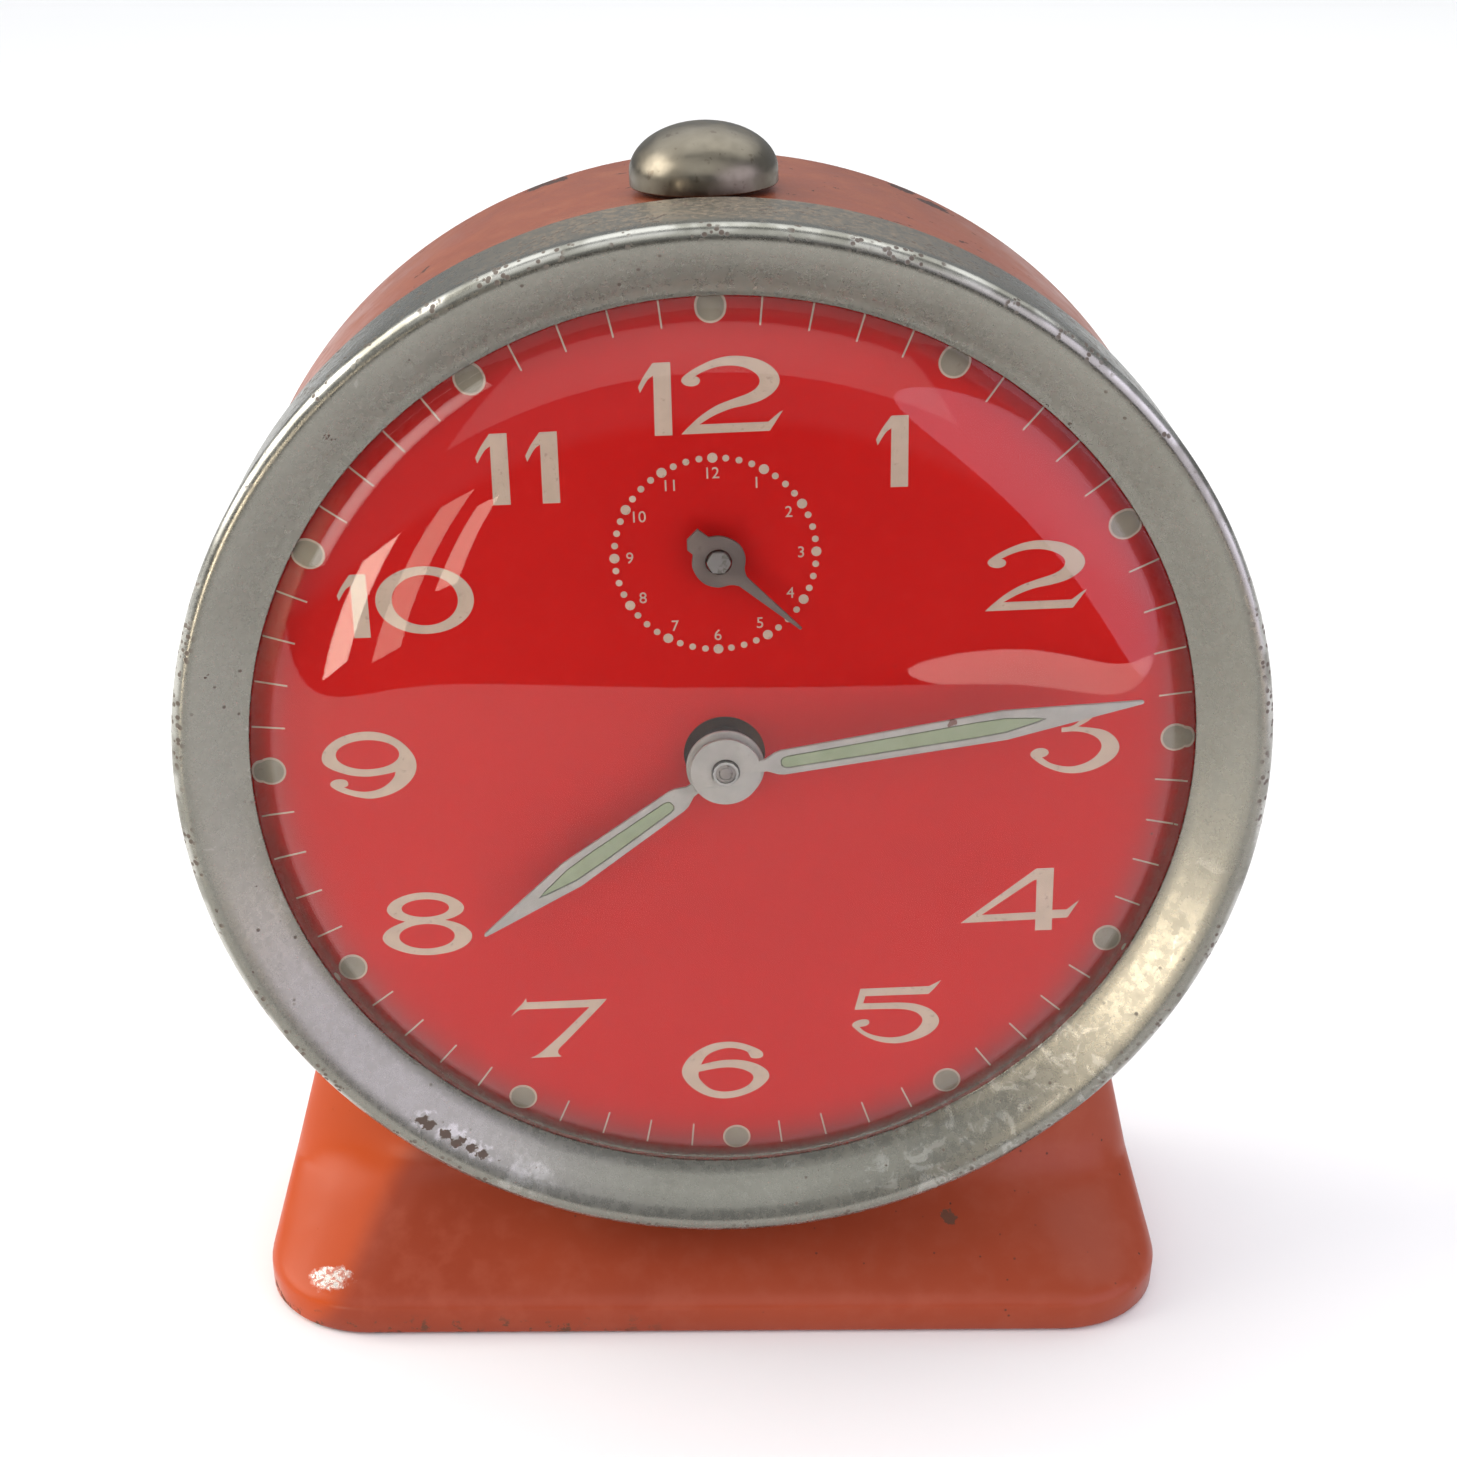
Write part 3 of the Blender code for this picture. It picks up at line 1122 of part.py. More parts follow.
def make_going_train():
    """The wheels from the time mainspring to the escape wheel, each drawn in mesh with the next."""
    great_phase = 0.0
    centre_pinion = mate_phase(great_phase, GREAT_TEETH, CENTRE_PINION_TEETH, GREAT_BEARING + math.pi)
    third_pinion = mate_phase(centre_pinion, CENTRE_TEETH, THIRD_PINION_TEETH, THIRD_BEARING)
    fourth_pinion = mate_phase(third_pinion, THIRD_TEETH, FOURTH_PINION_TEETH, FOURTH_BEARING)
    escape_pinion = mate_phase(fourth_pinion, FOURTH_TEETH, ESCAPE_PINION_TEETH, ESCAPE_BEARING)
    bore = CENTRE_ARBOR_RADIUS + RUN_GAP
    outer = bore + PIPE_WALL
    shared = hole((bore + outer) * PIPE_BORE_SHARE)
    start = GREAT_LAYER - PINION_OVERHANG - RUN_GAP
    end = CENTRE_LAYER + WHEEL_SHEET + PINION_OVERHANG
    pipe = spun("centre_wheel", [(bore, start), (outer, start), (outer, end), (bore, end)], ROUND_HOLE)
    loops = [pinion_outline(CENTRE_PINION_TEETH, GREAT_MODULE, centre_pinion), shared]
    length = GREAT_SHEET + 2 * PINION_OVERHANG
    join(pipe, solid(plate("centre_leaves", loops, GREAT_LAYER - PINION_OVERHANG, length)))
    loops = [wheel_outline(CENTRE_TEETH, CENTRE_MODULE, centre_pinion), shared]
    loops += windows(CENTRE_TEETH * CENTRE_MODULE / 2, TRAIN_SPOKES)
    join(pipe, solid(plate("centre_disc", loops, CENTRE_LAYER, WHEEL_SHEET)))
    dress(pipe, BRASS)
    thin = ESCAPE_ARBOR_RADIUS
    for name, place, radius, teeth, module, phase, layer in (
        ("third_arbor", THIRD, ARBOR_RADIUS, THIRD_PINION_TEETH, CENTRE_MODULE, third_pinion, CENTRE_LAYER),
        ("fourth_arbor", FOURTH, ARBOR_RADIUS, FOURTH_PINION_TEETH, THIRD_MODULE, fourth_pinion, THIRD_LAYER),
        ("escape_arbor", ESCAPE, thin, ESCAPE_PINION_TEETH, FOURTH_MODULE, escape_pinion, FOURTH_LAYER),
    ):
        body = arbor(name, place, radius=radius)
        dress(join(body, leaves(name + "_leaves", teeth, module, phase, layer, WHEEL_SHEET, place)), STEEL)
    third = train_wheel("third_wheel", THIRD_TEETH, THIRD_MODULE, third_pinion, THIRD_LAYER, THIRD)
    fourth = train_wheel("fourth_wheel", FOURTH_TEETH, FOURTH_MODULE, fourth_pinion, FOURTH_LAYER, FOURTH)
    bore = hole(ESCAPE_ARBOR_RADIUS + RUN_GAP, count=ROUND_PIVOT_HOLE)
    loops = [saw_outline(ESCAPE_TEETH, ESCAPE_RADIUS, ESCAPE_TOOTH_HEIGHT), bore]
    escape = plate("escape_wheel", loops, ESCAPE_LAYER, WHEEL_SHEET, ESCAPE)
    for wheel in (third, fourth, escape):
        dress(wheel, BRASS)


def make_escapement():
    """The pin lever, the balance on its staff with roller and impulse pin, and the hairspring."""
    lever = arbor("pallet_lever", PALLET)
    towards_escape = PALLET_BEARING + math.pi
    pins = [polar(PALLET_REACH, towards_escape + side * PALLET_ANGLE) for side in (-1, 1)]
    towards_balance = BALANCE_BEARING
    fork = BALANCE_DISTANCE - IMPULSE_PIN_CIRCLE - IMPULSE_PIN_RADIUS - FORK_CLEARANCE
    half = PALLET_WIDTH / 2
    rod = [
        (-FORK_DEPTH, -FORK_HALF_GAP),
        (fork - FORK_DEPTH, -half),
        (fork, -half),
        (fork, -FORK_HALF_GAP / 2),
        (fork - FORK_DEPTH / 2, 0.0),
        (fork, FORK_HALF_GAP / 2),
        (fork, half),
        (fork - FORK_DEPTH, half),
        (-FORK_DEPTH, FORK_HALF_GAP),
    ]
    turned_rod = [
        (
            x * math.cos(towards_balance) - y * math.sin(towards_balance),
            x * math.sin(towards_balance) + y * math.cos(towards_balance),
        )
        for x, y in rod
    ]
    join(lever, solid(plate("lever_rod", [turned_rod], PALLET_LAYER, PALLET_SHEET, PALLET)))
    for number, pin in enumerate(pins):
        reach = polar(PALLET_REACH + PALLET_PIN_RADIUS + RUN_GAP, bearing_of(CENTRE, pin))
        arm = [bar(CENTRE, reach, PALLET_WIDTH / 2)]
        join(lever, solid(plate(f"lever_arm_{number}", arm, PALLET_LAYER, PALLET_SHEET, PALLET)))
        front = ESCAPE_LAYER - PALLET_PIN_OVERRUN
        end = PALLET_LAYER + PALLET_SHEET / 2
        outline = [(0.0, front), (PALLET_PIN_RADIUS, front), (PALLET_PIN_RADIUS, end), (0.0, end)]
        place = (PALLET[0] + pin[0], PALLET[1] + pin[1])
        join(lever, spun(f"pallet_pin_{number}", outline, ROUND_SHAFT, place))
    dress(lever, STEEL)

    staff = arbor("balance_staff", BALANCE)
    roller = solid(plate("roller", [circle(ROLLER_RADIUS, ROUND_HOLE)], ROLLER_LAYER, ROLLER_SHEET, BALANCE))
    join(staff, roller)
    start = ROLLER_LAYER + ROLLER_SHEET / 2
    end = PALLET_LAYER + PALLET_SHEET
    outline = [(0.0, start), (IMPULSE_PIN_RADIUS, start), (IMPULSE_PIN_RADIUS, end), (0.0, end)]
    place = polar(IMPULSE_PIN_CIRCLE, towards_balance + math.pi, BALANCE)
    join(staff, spun("impulse_pin", outline, ROUND_SHAFT, place))
    dress(staff, STEEL)
    rim = BALANCE_RADIUS - BALANCE_RIM
    arm = BALANCE_ARM_WIDTH / 2
    gap = math.asin(arm / rim)
    openings = []
    hub_gap = math.asin(arm / WHEEL_HUB_RADIUS)
    hub = (WHEEL_HUB_RADIUS, WHEEL_HUB_RADIUS)
    for side in (0.0, math.pi):
        outside = arc(CENTRE, (rim, rim), side + gap, side + math.pi - gap, ROUND_PIVOT_HOLE)
        openings.append(outside + arc(CENTRE, hub, side + math.pi - hub_gap, side + hub_gap, ARC_STEPS))
    bore = hole(ARBOR_RADIUS + RUN_GAP, count=ROUND_PIVOT_HOLE)
    loops = [circle(BALANCE_RADIUS, ROUND_PLATE), bore, *openings]
    dress(plate("balance_wheel", loops, BALANCE_LAYER, WHEEL_SHEET, BALANCE), BRASS)
    coil = spiral(HAIRSPRING_INNER_RADIUS, HAIRSPRING_RADIUS, HAIRSPRING_TURNS, HAIRSPRING_RIBBON, ROUND_HOLE)
    dress(plate("hairspring", [coil], HAIRSPRING_LAYER, HAIRSPRING_HEIGHT, BALANCE), BLUED_STEEL)


def make_power(prefix, place, teeth, module, phase, spring_radius):
    """One great wheel with its winding arbor, ratchet, click and mainspring."""
    click = polar(CLICK_CIRCLE, phase)
    click_hole = hole(CLICK_PIN_RADIUS + RUN_GAP, click, ROUND_PIVOT_HOLE)
    bore = hole(WINDING_ARBOR_RADIUS + RUN_GAP, count=ROUND_WINDING_HOLE)
    loops = [wheel_outline(teeth, module, phase), bore, click_hole]
    dress(plate(prefix + "_great_wheel", loops, GREAT_LAYER, GREAT_SHEET, place), BRASS)
    end = KEY_FRONT + KEY_HUB_LENGTH * KEY_BORE_SHARE
    shaft = arbor(prefix + "_winding_arbor", place, end, WINDING_ARBOR_RADIUS, WINDING_PIVOT_RADIUS)
    saw = [saw_outline(RATCHET_TEETH, RATCHET_RADIUS, RATCHET_TOOTH_HEIGHT)]
    join(shaft, solid(plate(prefix + "_ratchet", saw, RATCHET_LAYER, RATCHET_SHEET, place)))
    dress(shaft, STEEL)
    heading = phase + math.pi - CLICK_LEAN
    tip = polar(CLICK_LENGTH, heading)
    across = polar(CLICK_WIDTH / 2, heading + math.pi / 2)
    nose = polar(CLICK_WIDTH * CLICK_TIP_SHARE / 2, heading + math.pi / 2)
    back = arc(CENTRE, (CLICK_WIDTH / 2,) * 2, heading + math.pi / 2, heading + math.pi * 3 / 2, ARC_STEPS)
    pawl = [*back, (tip[0] - nose[0], tip[1] - nose[1]), (tip[0] + nose[0], tip[1] + nose[1])]
    pivot = (place[0] + click[0], place[1] + click[1])
    lever = solid(plate(prefix + "_click", [pawl], RATCHET_LAYER, RATCHET_SHEET, pivot))
    start = GREAT_LAYER + END_SHAKE
    stop = RATCHET_LAYER + RATCHET_SHEET / 2
    pin = [(0.0, start), (CLICK_PIN_RADIUS, start), (CLICK_PIN_RADIUS, stop), (0.0, stop)]
    dress(join(lever, spun(prefix + "_click_pin", pin, ROUND_SHAFT, pivot)), STEEL)
    coil = spiral(SPRING_INNER_RADIUS, spring_radius, SPRING_TURNS, SPRING_RIBBON, ROUND_HOLE)
    dress(plate(prefix + "_mainspring", [coil], SPRING_LAYER, SPRING_HEIGHT, place), BLUED_STEEL)


def make_alarm_train():
    """The alarm escape wheel with its pinion, and the hammer that it shakes."""
    phase = mate_phase(0.0, ALARM_GREAT_TEETH, ALARM_PINION_TEETH, VERGE_BEARING)
    verge = arbor("alarm_escape_wheel", VERGE)
    gear = (ALARM_PINION_TEETH, ALARM_GREAT_MODULE, phase)
    join(verge, leaves("verge_leaves", *gear, GREAT_LAYER, GREAT_SHEET, VERGE))
    saw = [saw_outline(VERGE_TEETH, VERGE_RADIUS, VERGE_TOOTH_HEIGHT)]
    join(verge, solid(plate("verge_disc", saw, VERGE_LAYER, WHEEL_SHEET, VERGE)))
    dress(verge, BRASS)

    strike = BELL_RADIUS + HAMMER_CLEARANCE + HAMMER_HEAD_RADIUS
    swing = math.acos(strike / math.hypot(*HAMMER))
    head = polar(strike, bearing_of(CENTRE, HAMMER) - swing)
    head_front = BACK_PLATE_BACK + BELL_FRONT_GAP + HAMMER_HEAD_FRONT_GAP
    arm_front = head_front + HAMMER_HEAD_HEIGHT / 2 - HAMMER_ARM_SHEET / 2
    arm_back = arm_front + HAMMER_ARM_SHEET
    hammer = arbor("hammer", HAMMER, arm_back + END_SHAKE)
    for side in (-1, 1):
        tip = polar(HAMMER_PALLET_REACH, HAMMER_BEARING + math.pi + side * HAMMER_PALLET_ANGLE)
        arm = [bar(CENTRE, tip, HAMMER_PALLET_WIDTH)]
        join(hammer, solid(plate(f"hammer_pallet_{side + 1}", arm, VERGE_LAYER, WHEEL_SHEET, HAMMER)))
    arm = [bar(HAMMER, head, HAMMER_ARM_WIDTH)]
    join(hammer, solid(plate("hammer_arm", arm, arm_front, HAMMER_ARM_SHEET)))
    outline = [
        (0.0, head_front),
        (HAMMER_HEAD_RADIUS, head_front),
        (HAMMER_HEAD_RADIUS, head_front + HAMMER_HEAD_HEIGHT),
        (0.0, head_front + HAMMER_HEAD_HEIGHT),
    ]
    join(hammer, spun("hammer_head", outline, ROUND_HOLE, head))
    dress(hammer, STEEL)


def make_bell():
    """A cup on a hollow post round the centre arbor."""
    rim = BACK_PLATE_BACK + BELL_FRONT_GAP
    top = BELL_BACK
    neck = BELL_POST_NECK_RADIUS
    hole_radius = neck + RUN_GAP
    corner = BELL_RADIUS - BELL_CORNER
    rounded = arc((corner, top - BELL_CORNER), (BELL_CORNER, BELL_CORNER), 0.0, math.pi / 2, CORNER_STEPS)
    sheet = BELL_CORNER - BELL_SHEET
    inside = arc((corner, top - BELL_CORNER), (sheet, sheet), math.pi / 2, 0.0, CORNER_STEPS)
    outline = [(BELL_RADIUS, rim), *rounded, (hole_radius, top), (hole_radius, top - BELL_SHEET)]
    outline += [*inside, (BELL_RADIUS - BELL_SHEET, rim)]
    dress(spun("bell", outline, ROUND_BELL), BRIGHT_NICKEL)
    bore = CENTRE_ARBOR_RADIUS + FIT_GAP
    seat = BACK_PLATE_BACK + RUN_GAP
    shoulder = top - BELL_SHEET - RUN_GAP
    end = BELL_POST_BACK
    outline = [
        (bore, seat),
        (BELL_FOOT_RADIUS, seat),
        (BELL_FOOT_RADIUS, seat + BELL_FOOT_HEIGHT),
        (BELL_POST_RADIUS, seat + BELL_FOOT_HEIGHT),
        (BELL_POST_RADIUS, shoulder),
        (neck, shoulder),
        (neck, end),
        (bore, end),
    ]
    dress(spun("bell_post", outline, ROUND_HOLE), STEEL)


def make_setting_arbors():
    """The two arbors that run from hand to knob, and their fluted knobs."""
    end = KEY_FRONT + KNOB_COLLAR_LENGTH + KNOB_LENGTH * KNOB_BORE_SHARE
    front = MINUTE_HAND_DEPTH - RUN_GAP
    for name, place, radius, start in (
        ("centre_arbor", CENTRE, CENTRE_ARBOR_RADIUS, front),
        ("alarm_arbor", ALARM_SET, ALARM_ARBOR_RADIUS, ALARM_HAND_DEPTH - ALARM_RIVET_PROUD),
    ):
        outline = [(0.0, start), (radius, start), (radius, end), (0.0, end)]
        dress(spun(name, outline, ROUND_SHAFT, place), STEEL)
    flutes = []
    for step in range(KNOB_FLUTES * 2):
        radius = KNOB_RADIUS - (step % 2) * KNOB_FLUTE_DEPTH
        flutes.append(polar(radius, TURN * step / (KNOB_FLUTES * 2)))
    face = KEY_FRONT + KNOB_COLLAR_LENGTH
    for name, place, radius in (
        ("time_set_knob", CENTRE, CENTRE_ARBOR_RADIUS),
        ("alarm_set_knob", ALARM_SET, ALARM_ARBOR_RADIUS),
    ):
        knob = solid(plate(name, [flutes], face, KNOB_LENGTH, place))
        collar = [
            (0.0, KEY_FRONT),
            (KNOB_COLLAR_RADIUS, KEY_FRONT),
            (KNOB_COLLAR_RADIUS, face + KNOB_LENGTH / 2),
            (0.0, face + KNOB_LENGTH / 2),
        ]
        join(knob, spun(name + "_collar", collar, ROUND_HOLE, place))
        bore = radius + RUN_GAP
        stop = end + RUN_GAP
        outline = [(0.0, KEY_FRONT - CUT_OVERRUN), (bore, KEY_FRONT - CUT_OVERRUN), (bore, stop), (0.0, stop)]
        dress(cut(knob, spun(name + "_bore", outline, ROUND_HOLE, place)), BRASS)


def make_keys():
    """The two winding keys, each a hub with a pressed pair of wings."""
    for name, place in (("time_winding_key", GREAT), ("alarm_winding_key", ALARM_GREAT)):
        wall = WINDING_ARBOR_RADIUS + RUN_GAP
        floor = KEY_FRONT + KEY_HUB_LENGTH * KEY_BORE_SHARE + RUN_GAP
        top = KEY_FRONT + KEY_HUB_LENGTH
        outline = [
            (wall, KEY_FRONT),
            (KEY_HUB_RADIUS, KEY_FRONT),
            (KEY_HUB_RADIUS, top),
            (0.0, top),
            (0.0, floor),
            (wall, floor),
        ]
        key = spun(name, outline, ROUND_WINDING_HOLE, place)
        right = [(x * KEY_WING_SPAN / 2, y * KEY_WING_HEIGHT) for x, y in KEY_WING_SHARES]
        left = [(-x, y) for x, y in reversed(right)]
        wing = flat(name + "_wing", [right + left], KEY_WING_SHEET)
        wing.parent = HEAD
        wing.location = (place[0], top, place[1])
        dress(join(key, solid(wing)), BRASS)


def make_regulator():
    """The lever on the balance's boss, with a tail out through the cover's slot."""
    layer = BACK_PLATE_BACK + REGULATOR_LAYER_GAP
    ring = [hole(REGULATOR_HUB_RADIUS), hole(REGULATOR_BOSS_RADIUS + RUN_GAP)]
    lever = solid(plate("regulator_lever", ring, layer, REGULATOR_SHEET, BALANCE))
    near = polar((REGULATOR_BOSS_RADIUS + REGULATOR_HUB_RADIUS) / 2, REGULATOR_BEARING)
    far = polar(REGULATOR_LENGTH + REGULATOR_TAIL_RADIUS, REGULATOR_BEARING)
    arm = [bar(near, far, REGULATOR_WIDTH)]
    join(lever, solid(plate("regulator_arm", arm, layer, REGULATOR_SHEET, BALANCE)))
    end = COVER_PAN_BACK + REGULATOR_TAIL_PROUD
    start = layer + REGULATOR_SHEET / 2
    outline = [(0.0, start), (REGULATOR_TAIL_RADIUS, start), (REGULATOR_TAIL_RADIUS, end), (0.0, end)]
    tail = polar(REGULATOR_LENGTH, REGULATOR_BEARING, BALANCE)
    join(lever, spun("regulator_tail", outline, ROUND_SHAFT, tail))
    dress(lever, STEEL)


make_bezel()
make_crystal()
make_dial()
make_drum()
make_foot()
make_button()
make_back_cover()
make_plates()
make_hands()
make_motion_work()
make_going_train()
make_escapement()
make_power("time", GREAT, GREAT_TEETH, GREAT_MODULE, 0.0, TIME_SPRING_RADIUS)
make_power("alarm", ALARM_GREAT, ALARM_GREAT_TEETH, ALARM_GREAT_MODULE, 0.0, ALARM_SPRING_RADIUS)
make_alarm_train()
make_bell()
make_setting_arbors()
make_keys()
make_regulator()
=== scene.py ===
"""Looks of a wind-up alarm clock: finer visible pieces, printed dial, finishes, floor, light and camera.

Lengths are in millimetres unless a name says otherwise. A place on the head is x and z across the dial and a
depth, measured back from the plane of the bezel's front rim.
"""

import math
from functools import partial, reduce

import bmesh
import bpy
from mathutils import Matrix, Vector


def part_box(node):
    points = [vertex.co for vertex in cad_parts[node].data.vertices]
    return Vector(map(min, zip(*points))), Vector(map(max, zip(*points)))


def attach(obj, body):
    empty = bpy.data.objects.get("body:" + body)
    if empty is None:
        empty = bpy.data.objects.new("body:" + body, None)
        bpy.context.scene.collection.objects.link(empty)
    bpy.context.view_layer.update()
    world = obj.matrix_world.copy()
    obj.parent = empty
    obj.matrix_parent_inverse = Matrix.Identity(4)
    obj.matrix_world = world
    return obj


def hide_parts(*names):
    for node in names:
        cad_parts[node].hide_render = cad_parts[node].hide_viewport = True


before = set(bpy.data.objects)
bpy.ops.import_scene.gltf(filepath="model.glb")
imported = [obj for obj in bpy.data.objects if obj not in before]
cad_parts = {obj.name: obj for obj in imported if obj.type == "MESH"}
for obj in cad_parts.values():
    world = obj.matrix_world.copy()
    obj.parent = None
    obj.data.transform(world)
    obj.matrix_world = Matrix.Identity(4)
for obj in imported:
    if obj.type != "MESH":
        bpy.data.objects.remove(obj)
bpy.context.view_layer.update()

MM = 0.001
TURN = 2 * math.pi
QUARTER = math.pi / 2
bezel_low, bezel_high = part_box("bezel")
FRONT_Y = bezel_low.y
HEAD_HEIGHT = (bezel_low.z + bezel_high.z) / 2
HEAD_ROLL = math.radians(2.5)
HEAD = Matrix.Translation((0.0, FRONT_Y, HEAD_HEIGHT)) @ Matrix.Rotation(-HEAD_ROLL, 4, "Y")


def radius_of(node):
    """Half the width of a CAD node, in millimetres."""
    low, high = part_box(node)
    return (high.x - low.x) / 2 / MM


def depths_of(node):
    """Front and back of a CAD node, in millimetres behind the bezel's rim."""
    low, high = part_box(node)
    return (low.y - FRONT_Y) / MM, (high.y - FRONT_Y) / MM


def centre_of(node):
    """Middle of a CAD node on the head, as x and z in millimetres."""
    low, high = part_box(node)
    place = HEAD.inverted() @ ((low + high) / 2)
    return place.x / MM, place.z / MM


BEZEL_RADIUS = radius_of("bezel")
BEZEL_BACK = depths_of("bezel")[1]
BEZEL_INNER = 44.2
BEZEL_LIP_DEPTH = 3.1
BEZEL_SHEET = 0.4
GLASS_APEX = depths_of("crystal")[0]
GLASS_SHEET = 0.35
GLASS_RADIUS = BEZEL_INNER + 0.3
DIAL_FRONT = depths_of("dial")[0]
DIAL_RADIUS = radius_of("dial")
DIAL_SHEET = 0.5
DIAL_HOLE = 3.85
ALARM_HOLE = 1.4
# The middle of the printed alarm dial, and the axis of the alarm hand
SUBDIAL = (-0.25, 19.9)
ALARM_AXIS = (0.0, 19.9)
DRUM_RADIUS = radius_of("drum_case")
DRUM_FRONT, DRUM_BACK = depths_of("drum_case")
DRUM_SHEET = 0.7
# The foot, the button and the drum's saddle are centred on this depth
MIDDLE_DEPTH = 20.4
# Hands: the depth of each face, its length, the place of its widest point, its hub and its angle past twelve
MINUTE_DEPTH = 0.9
MINUTE_LENGTH = 39.1
MINUTE_WIDEST = 26.2
MINUTE_HUB = 3.3
MINUTE_ANGLE = math.radians(81.9)
HOUR_DEPTH = 2.0
HOUR_LENGTH = 29.0
HOUR_WIDEST = 18.3
HOUR_HUB = 3.65
HOUR_ANGLE = math.radians(234.5)
ALARM_DEPTH = 3.1
ALARM_ANGLE = math.radians(132.7)
HAND_SHEET = 0.35
HAND_NECK = 1.15
# Where the luminous inlay ends, as a share of a hand's length
INLAY_END = 0.768

# Camera, fitted to the photograph: place in metres, focal length as a share of the picture's width
CAMERA_PLACE = (-0.00684, -0.22442, 0.15499)
CAMERA_YAW = math.radians(2.016)
CAMERA_PITCH = math.radians(23.604)
CAMERA_ROLL = math.radians(0.952)
CAMERA_FOCAL = 1.6255
SENSOR = 36.0
# The studio's light, below and above the horizon
WORLD_LOW = 0.06
WORLD_HIGH = 0.35

# Segments round a full turn, for the large, middle and small round pieces
FINE = 256
ROUND = 128
SMALL = 48


def at(x, y, z):
    """A point of the world."""
    return Vector((x, y, z)) * MM


def on_head(x, z, depth):
    """A point of the head, in the world."""
    return HEAD @ Vector((x * MM, depth * MM, z * MM))


def on_axis(x, z, depth):
    """A point about the head's axis, but square to the floor, with its depth from the drum's middle."""
    return Vector((x * MM, FRONT_Y + (MIDDLE_DEPTH + depth) * MM, HEAD_HEIGHT + z * MM))


def on_top(x, y, height):
    """A point about the head's own vertical, in the middle of the drum's depth."""
    return HEAD @ Vector((x * MM, (MIDDLE_DEPTH + y) * MM, height * MM))


def below(angle):
    """Places a piece whose axis points down from the head's axis, turned by an angle to the left."""
    down = Vector((-math.sin(angle), 0.0, -math.cos(angle)))
    side = Vector((math.cos(angle), 0.0, -math.sin(angle)))

    def place(x, y, height):
        middle = Vector((0.0, FRONT_Y + MIDDLE_DEPTH * MM, HEAD_HEIGHT))
        return middle + (down * height + side * x + Vector((0.0, y, 0.0))) * MM

    return place


def around(centre, depth_first=False):
    """Places a piece turned about an axis of the head, or with its second value as the depth."""

    def place(x, y, along):
        if depth_first:
            return on_head(centre[0] + x, centre[1] + along, y)
        return on_head(centre[0] + x, centre[1] + y, along)

    return place


def add(name, verts, faces):
    mesh = bpy.data.meshes.new(name)
    mesh.from_pydata([tuple(v) for v in verts], [], faces)
    return place_mesh(name, mesh)


def place_mesh(name, mesh):
    obj = bpy.data.objects.new(name, mesh)
    bpy.context.scene.collection.objects.link(obj)
    return obj


def tidy(obj, angle=35):
    """Weld, turn the faces outwards and shade smooth up to an angle."""
    shape = bmesh.new()
    shape.from_mesh(obj.data)
    bmesh.ops.remove_doubles(shape, verts=shape.verts, dist=1e-7)
    bmesh.ops.recalc_face_normals(shape, faces=shape.faces)
    shape.to_mesh(obj.data)
    shape.free()
    obj.data.shade_smooth()
    obj.data.set_sharp_from_angle(angle=math.radians(angle))
    return obj


def strip(low, high):
    """Faces between two rings of vertices. Either ring may be one vertex, repeated."""
    faces = []
    for step, corner in enumerate(low):
        after = (step + 1) % len(low)
        face = list(dict.fromkeys((corner, low[after], high[after], high[step])))
        if len(face) > 2:
            faces.append(face)
    return faces


def lathe(name, outline, place=on_head, steps=ROUND, angle=35):
    """A turned piece from (radius, height) points, closed unless both ends lie on the axis."""
    verts, rings = [], []
    for radius, along in outline:
        if radius == 0.0:
            rings.append([len(verts)] * steps)
            verts.append(place(0.0, 0.0, along))
            continue
        rings.append(range(len(verts), len(verts) + steps))
        for step in range(steps):
            bearing = TURN * step / steps
            verts.append(place(radius * math.cos(bearing), radius * math.sin(bearing), along))
    pairs = list(zip(rings, rings[1:]))
    if outline[0][0] or outline[-1][0]:
        pairs.append((rings[-1], rings[0]))
    faces = [face for low, high in pairs for face in strip(low, high)]
    return tidy(add(name, verts, faces), angle)


def arc(centre, radii, start, end, count):
    """Points along a stretch of an ellipse, both ends included."""
    angles = [start + (end - start) * step / count for step in range(count + 1)]
    return [(centre[0] + radii[0] * math.cos(a), centre[1] + radii[1] * math.sin(a)) for a in angles]


def ellipse(centre, radii, count=SMALL):
    return arc(centre, radii, 0.0, TURN, count)[:-1]


def circle(radius, centre=(0.0, 0.0), count=SMALL):
    return ellipse(centre, (radius, radius), count)


def polar(distance, bearing, centre=(0.0, 0.0)):
    return centre[0] + distance * math.cos(bearing), centre[1] + distance * math.sin(bearing)


def hermite(before, start, end, after, share):
    """A smooth value between start and end, given the slopes at both."""
    square, cube = share**2, share**3
    total = (2 * cube - 3 * square + 1) * start + (cube - 2 * square + share) * before
    return total + (3 * square - 2 * cube) * end + (cube - square) * after


def smooth_loop(points, steps=5):
    """A closed outline: (x, y) points are passed smoothly, (x, y, 1) ones are corners."""
    result = []
    count = len(points)
    for index, here in enumerate(points):
        there = points[(index + 1) % count]
        result.append(here[:2])
        if len(here) > 2 and len(there) > 2:
            continue
        start, end = Vector(here[:2]), Vector(there[:2])
        before = start if len(here) > 2 else Vector(points[index - 1][:2])
        after = end if len(there) > 2 else Vector(points[(index + 2) % count][:2])
        length = (end - start).length
        leave = (end - before).normalized() * length
        arrive = (after - start).normalized() * length
        for step in range(1, steps):
            result.append(tuple(hermite(leave, start, end, arrive, step / steps)))
    return result


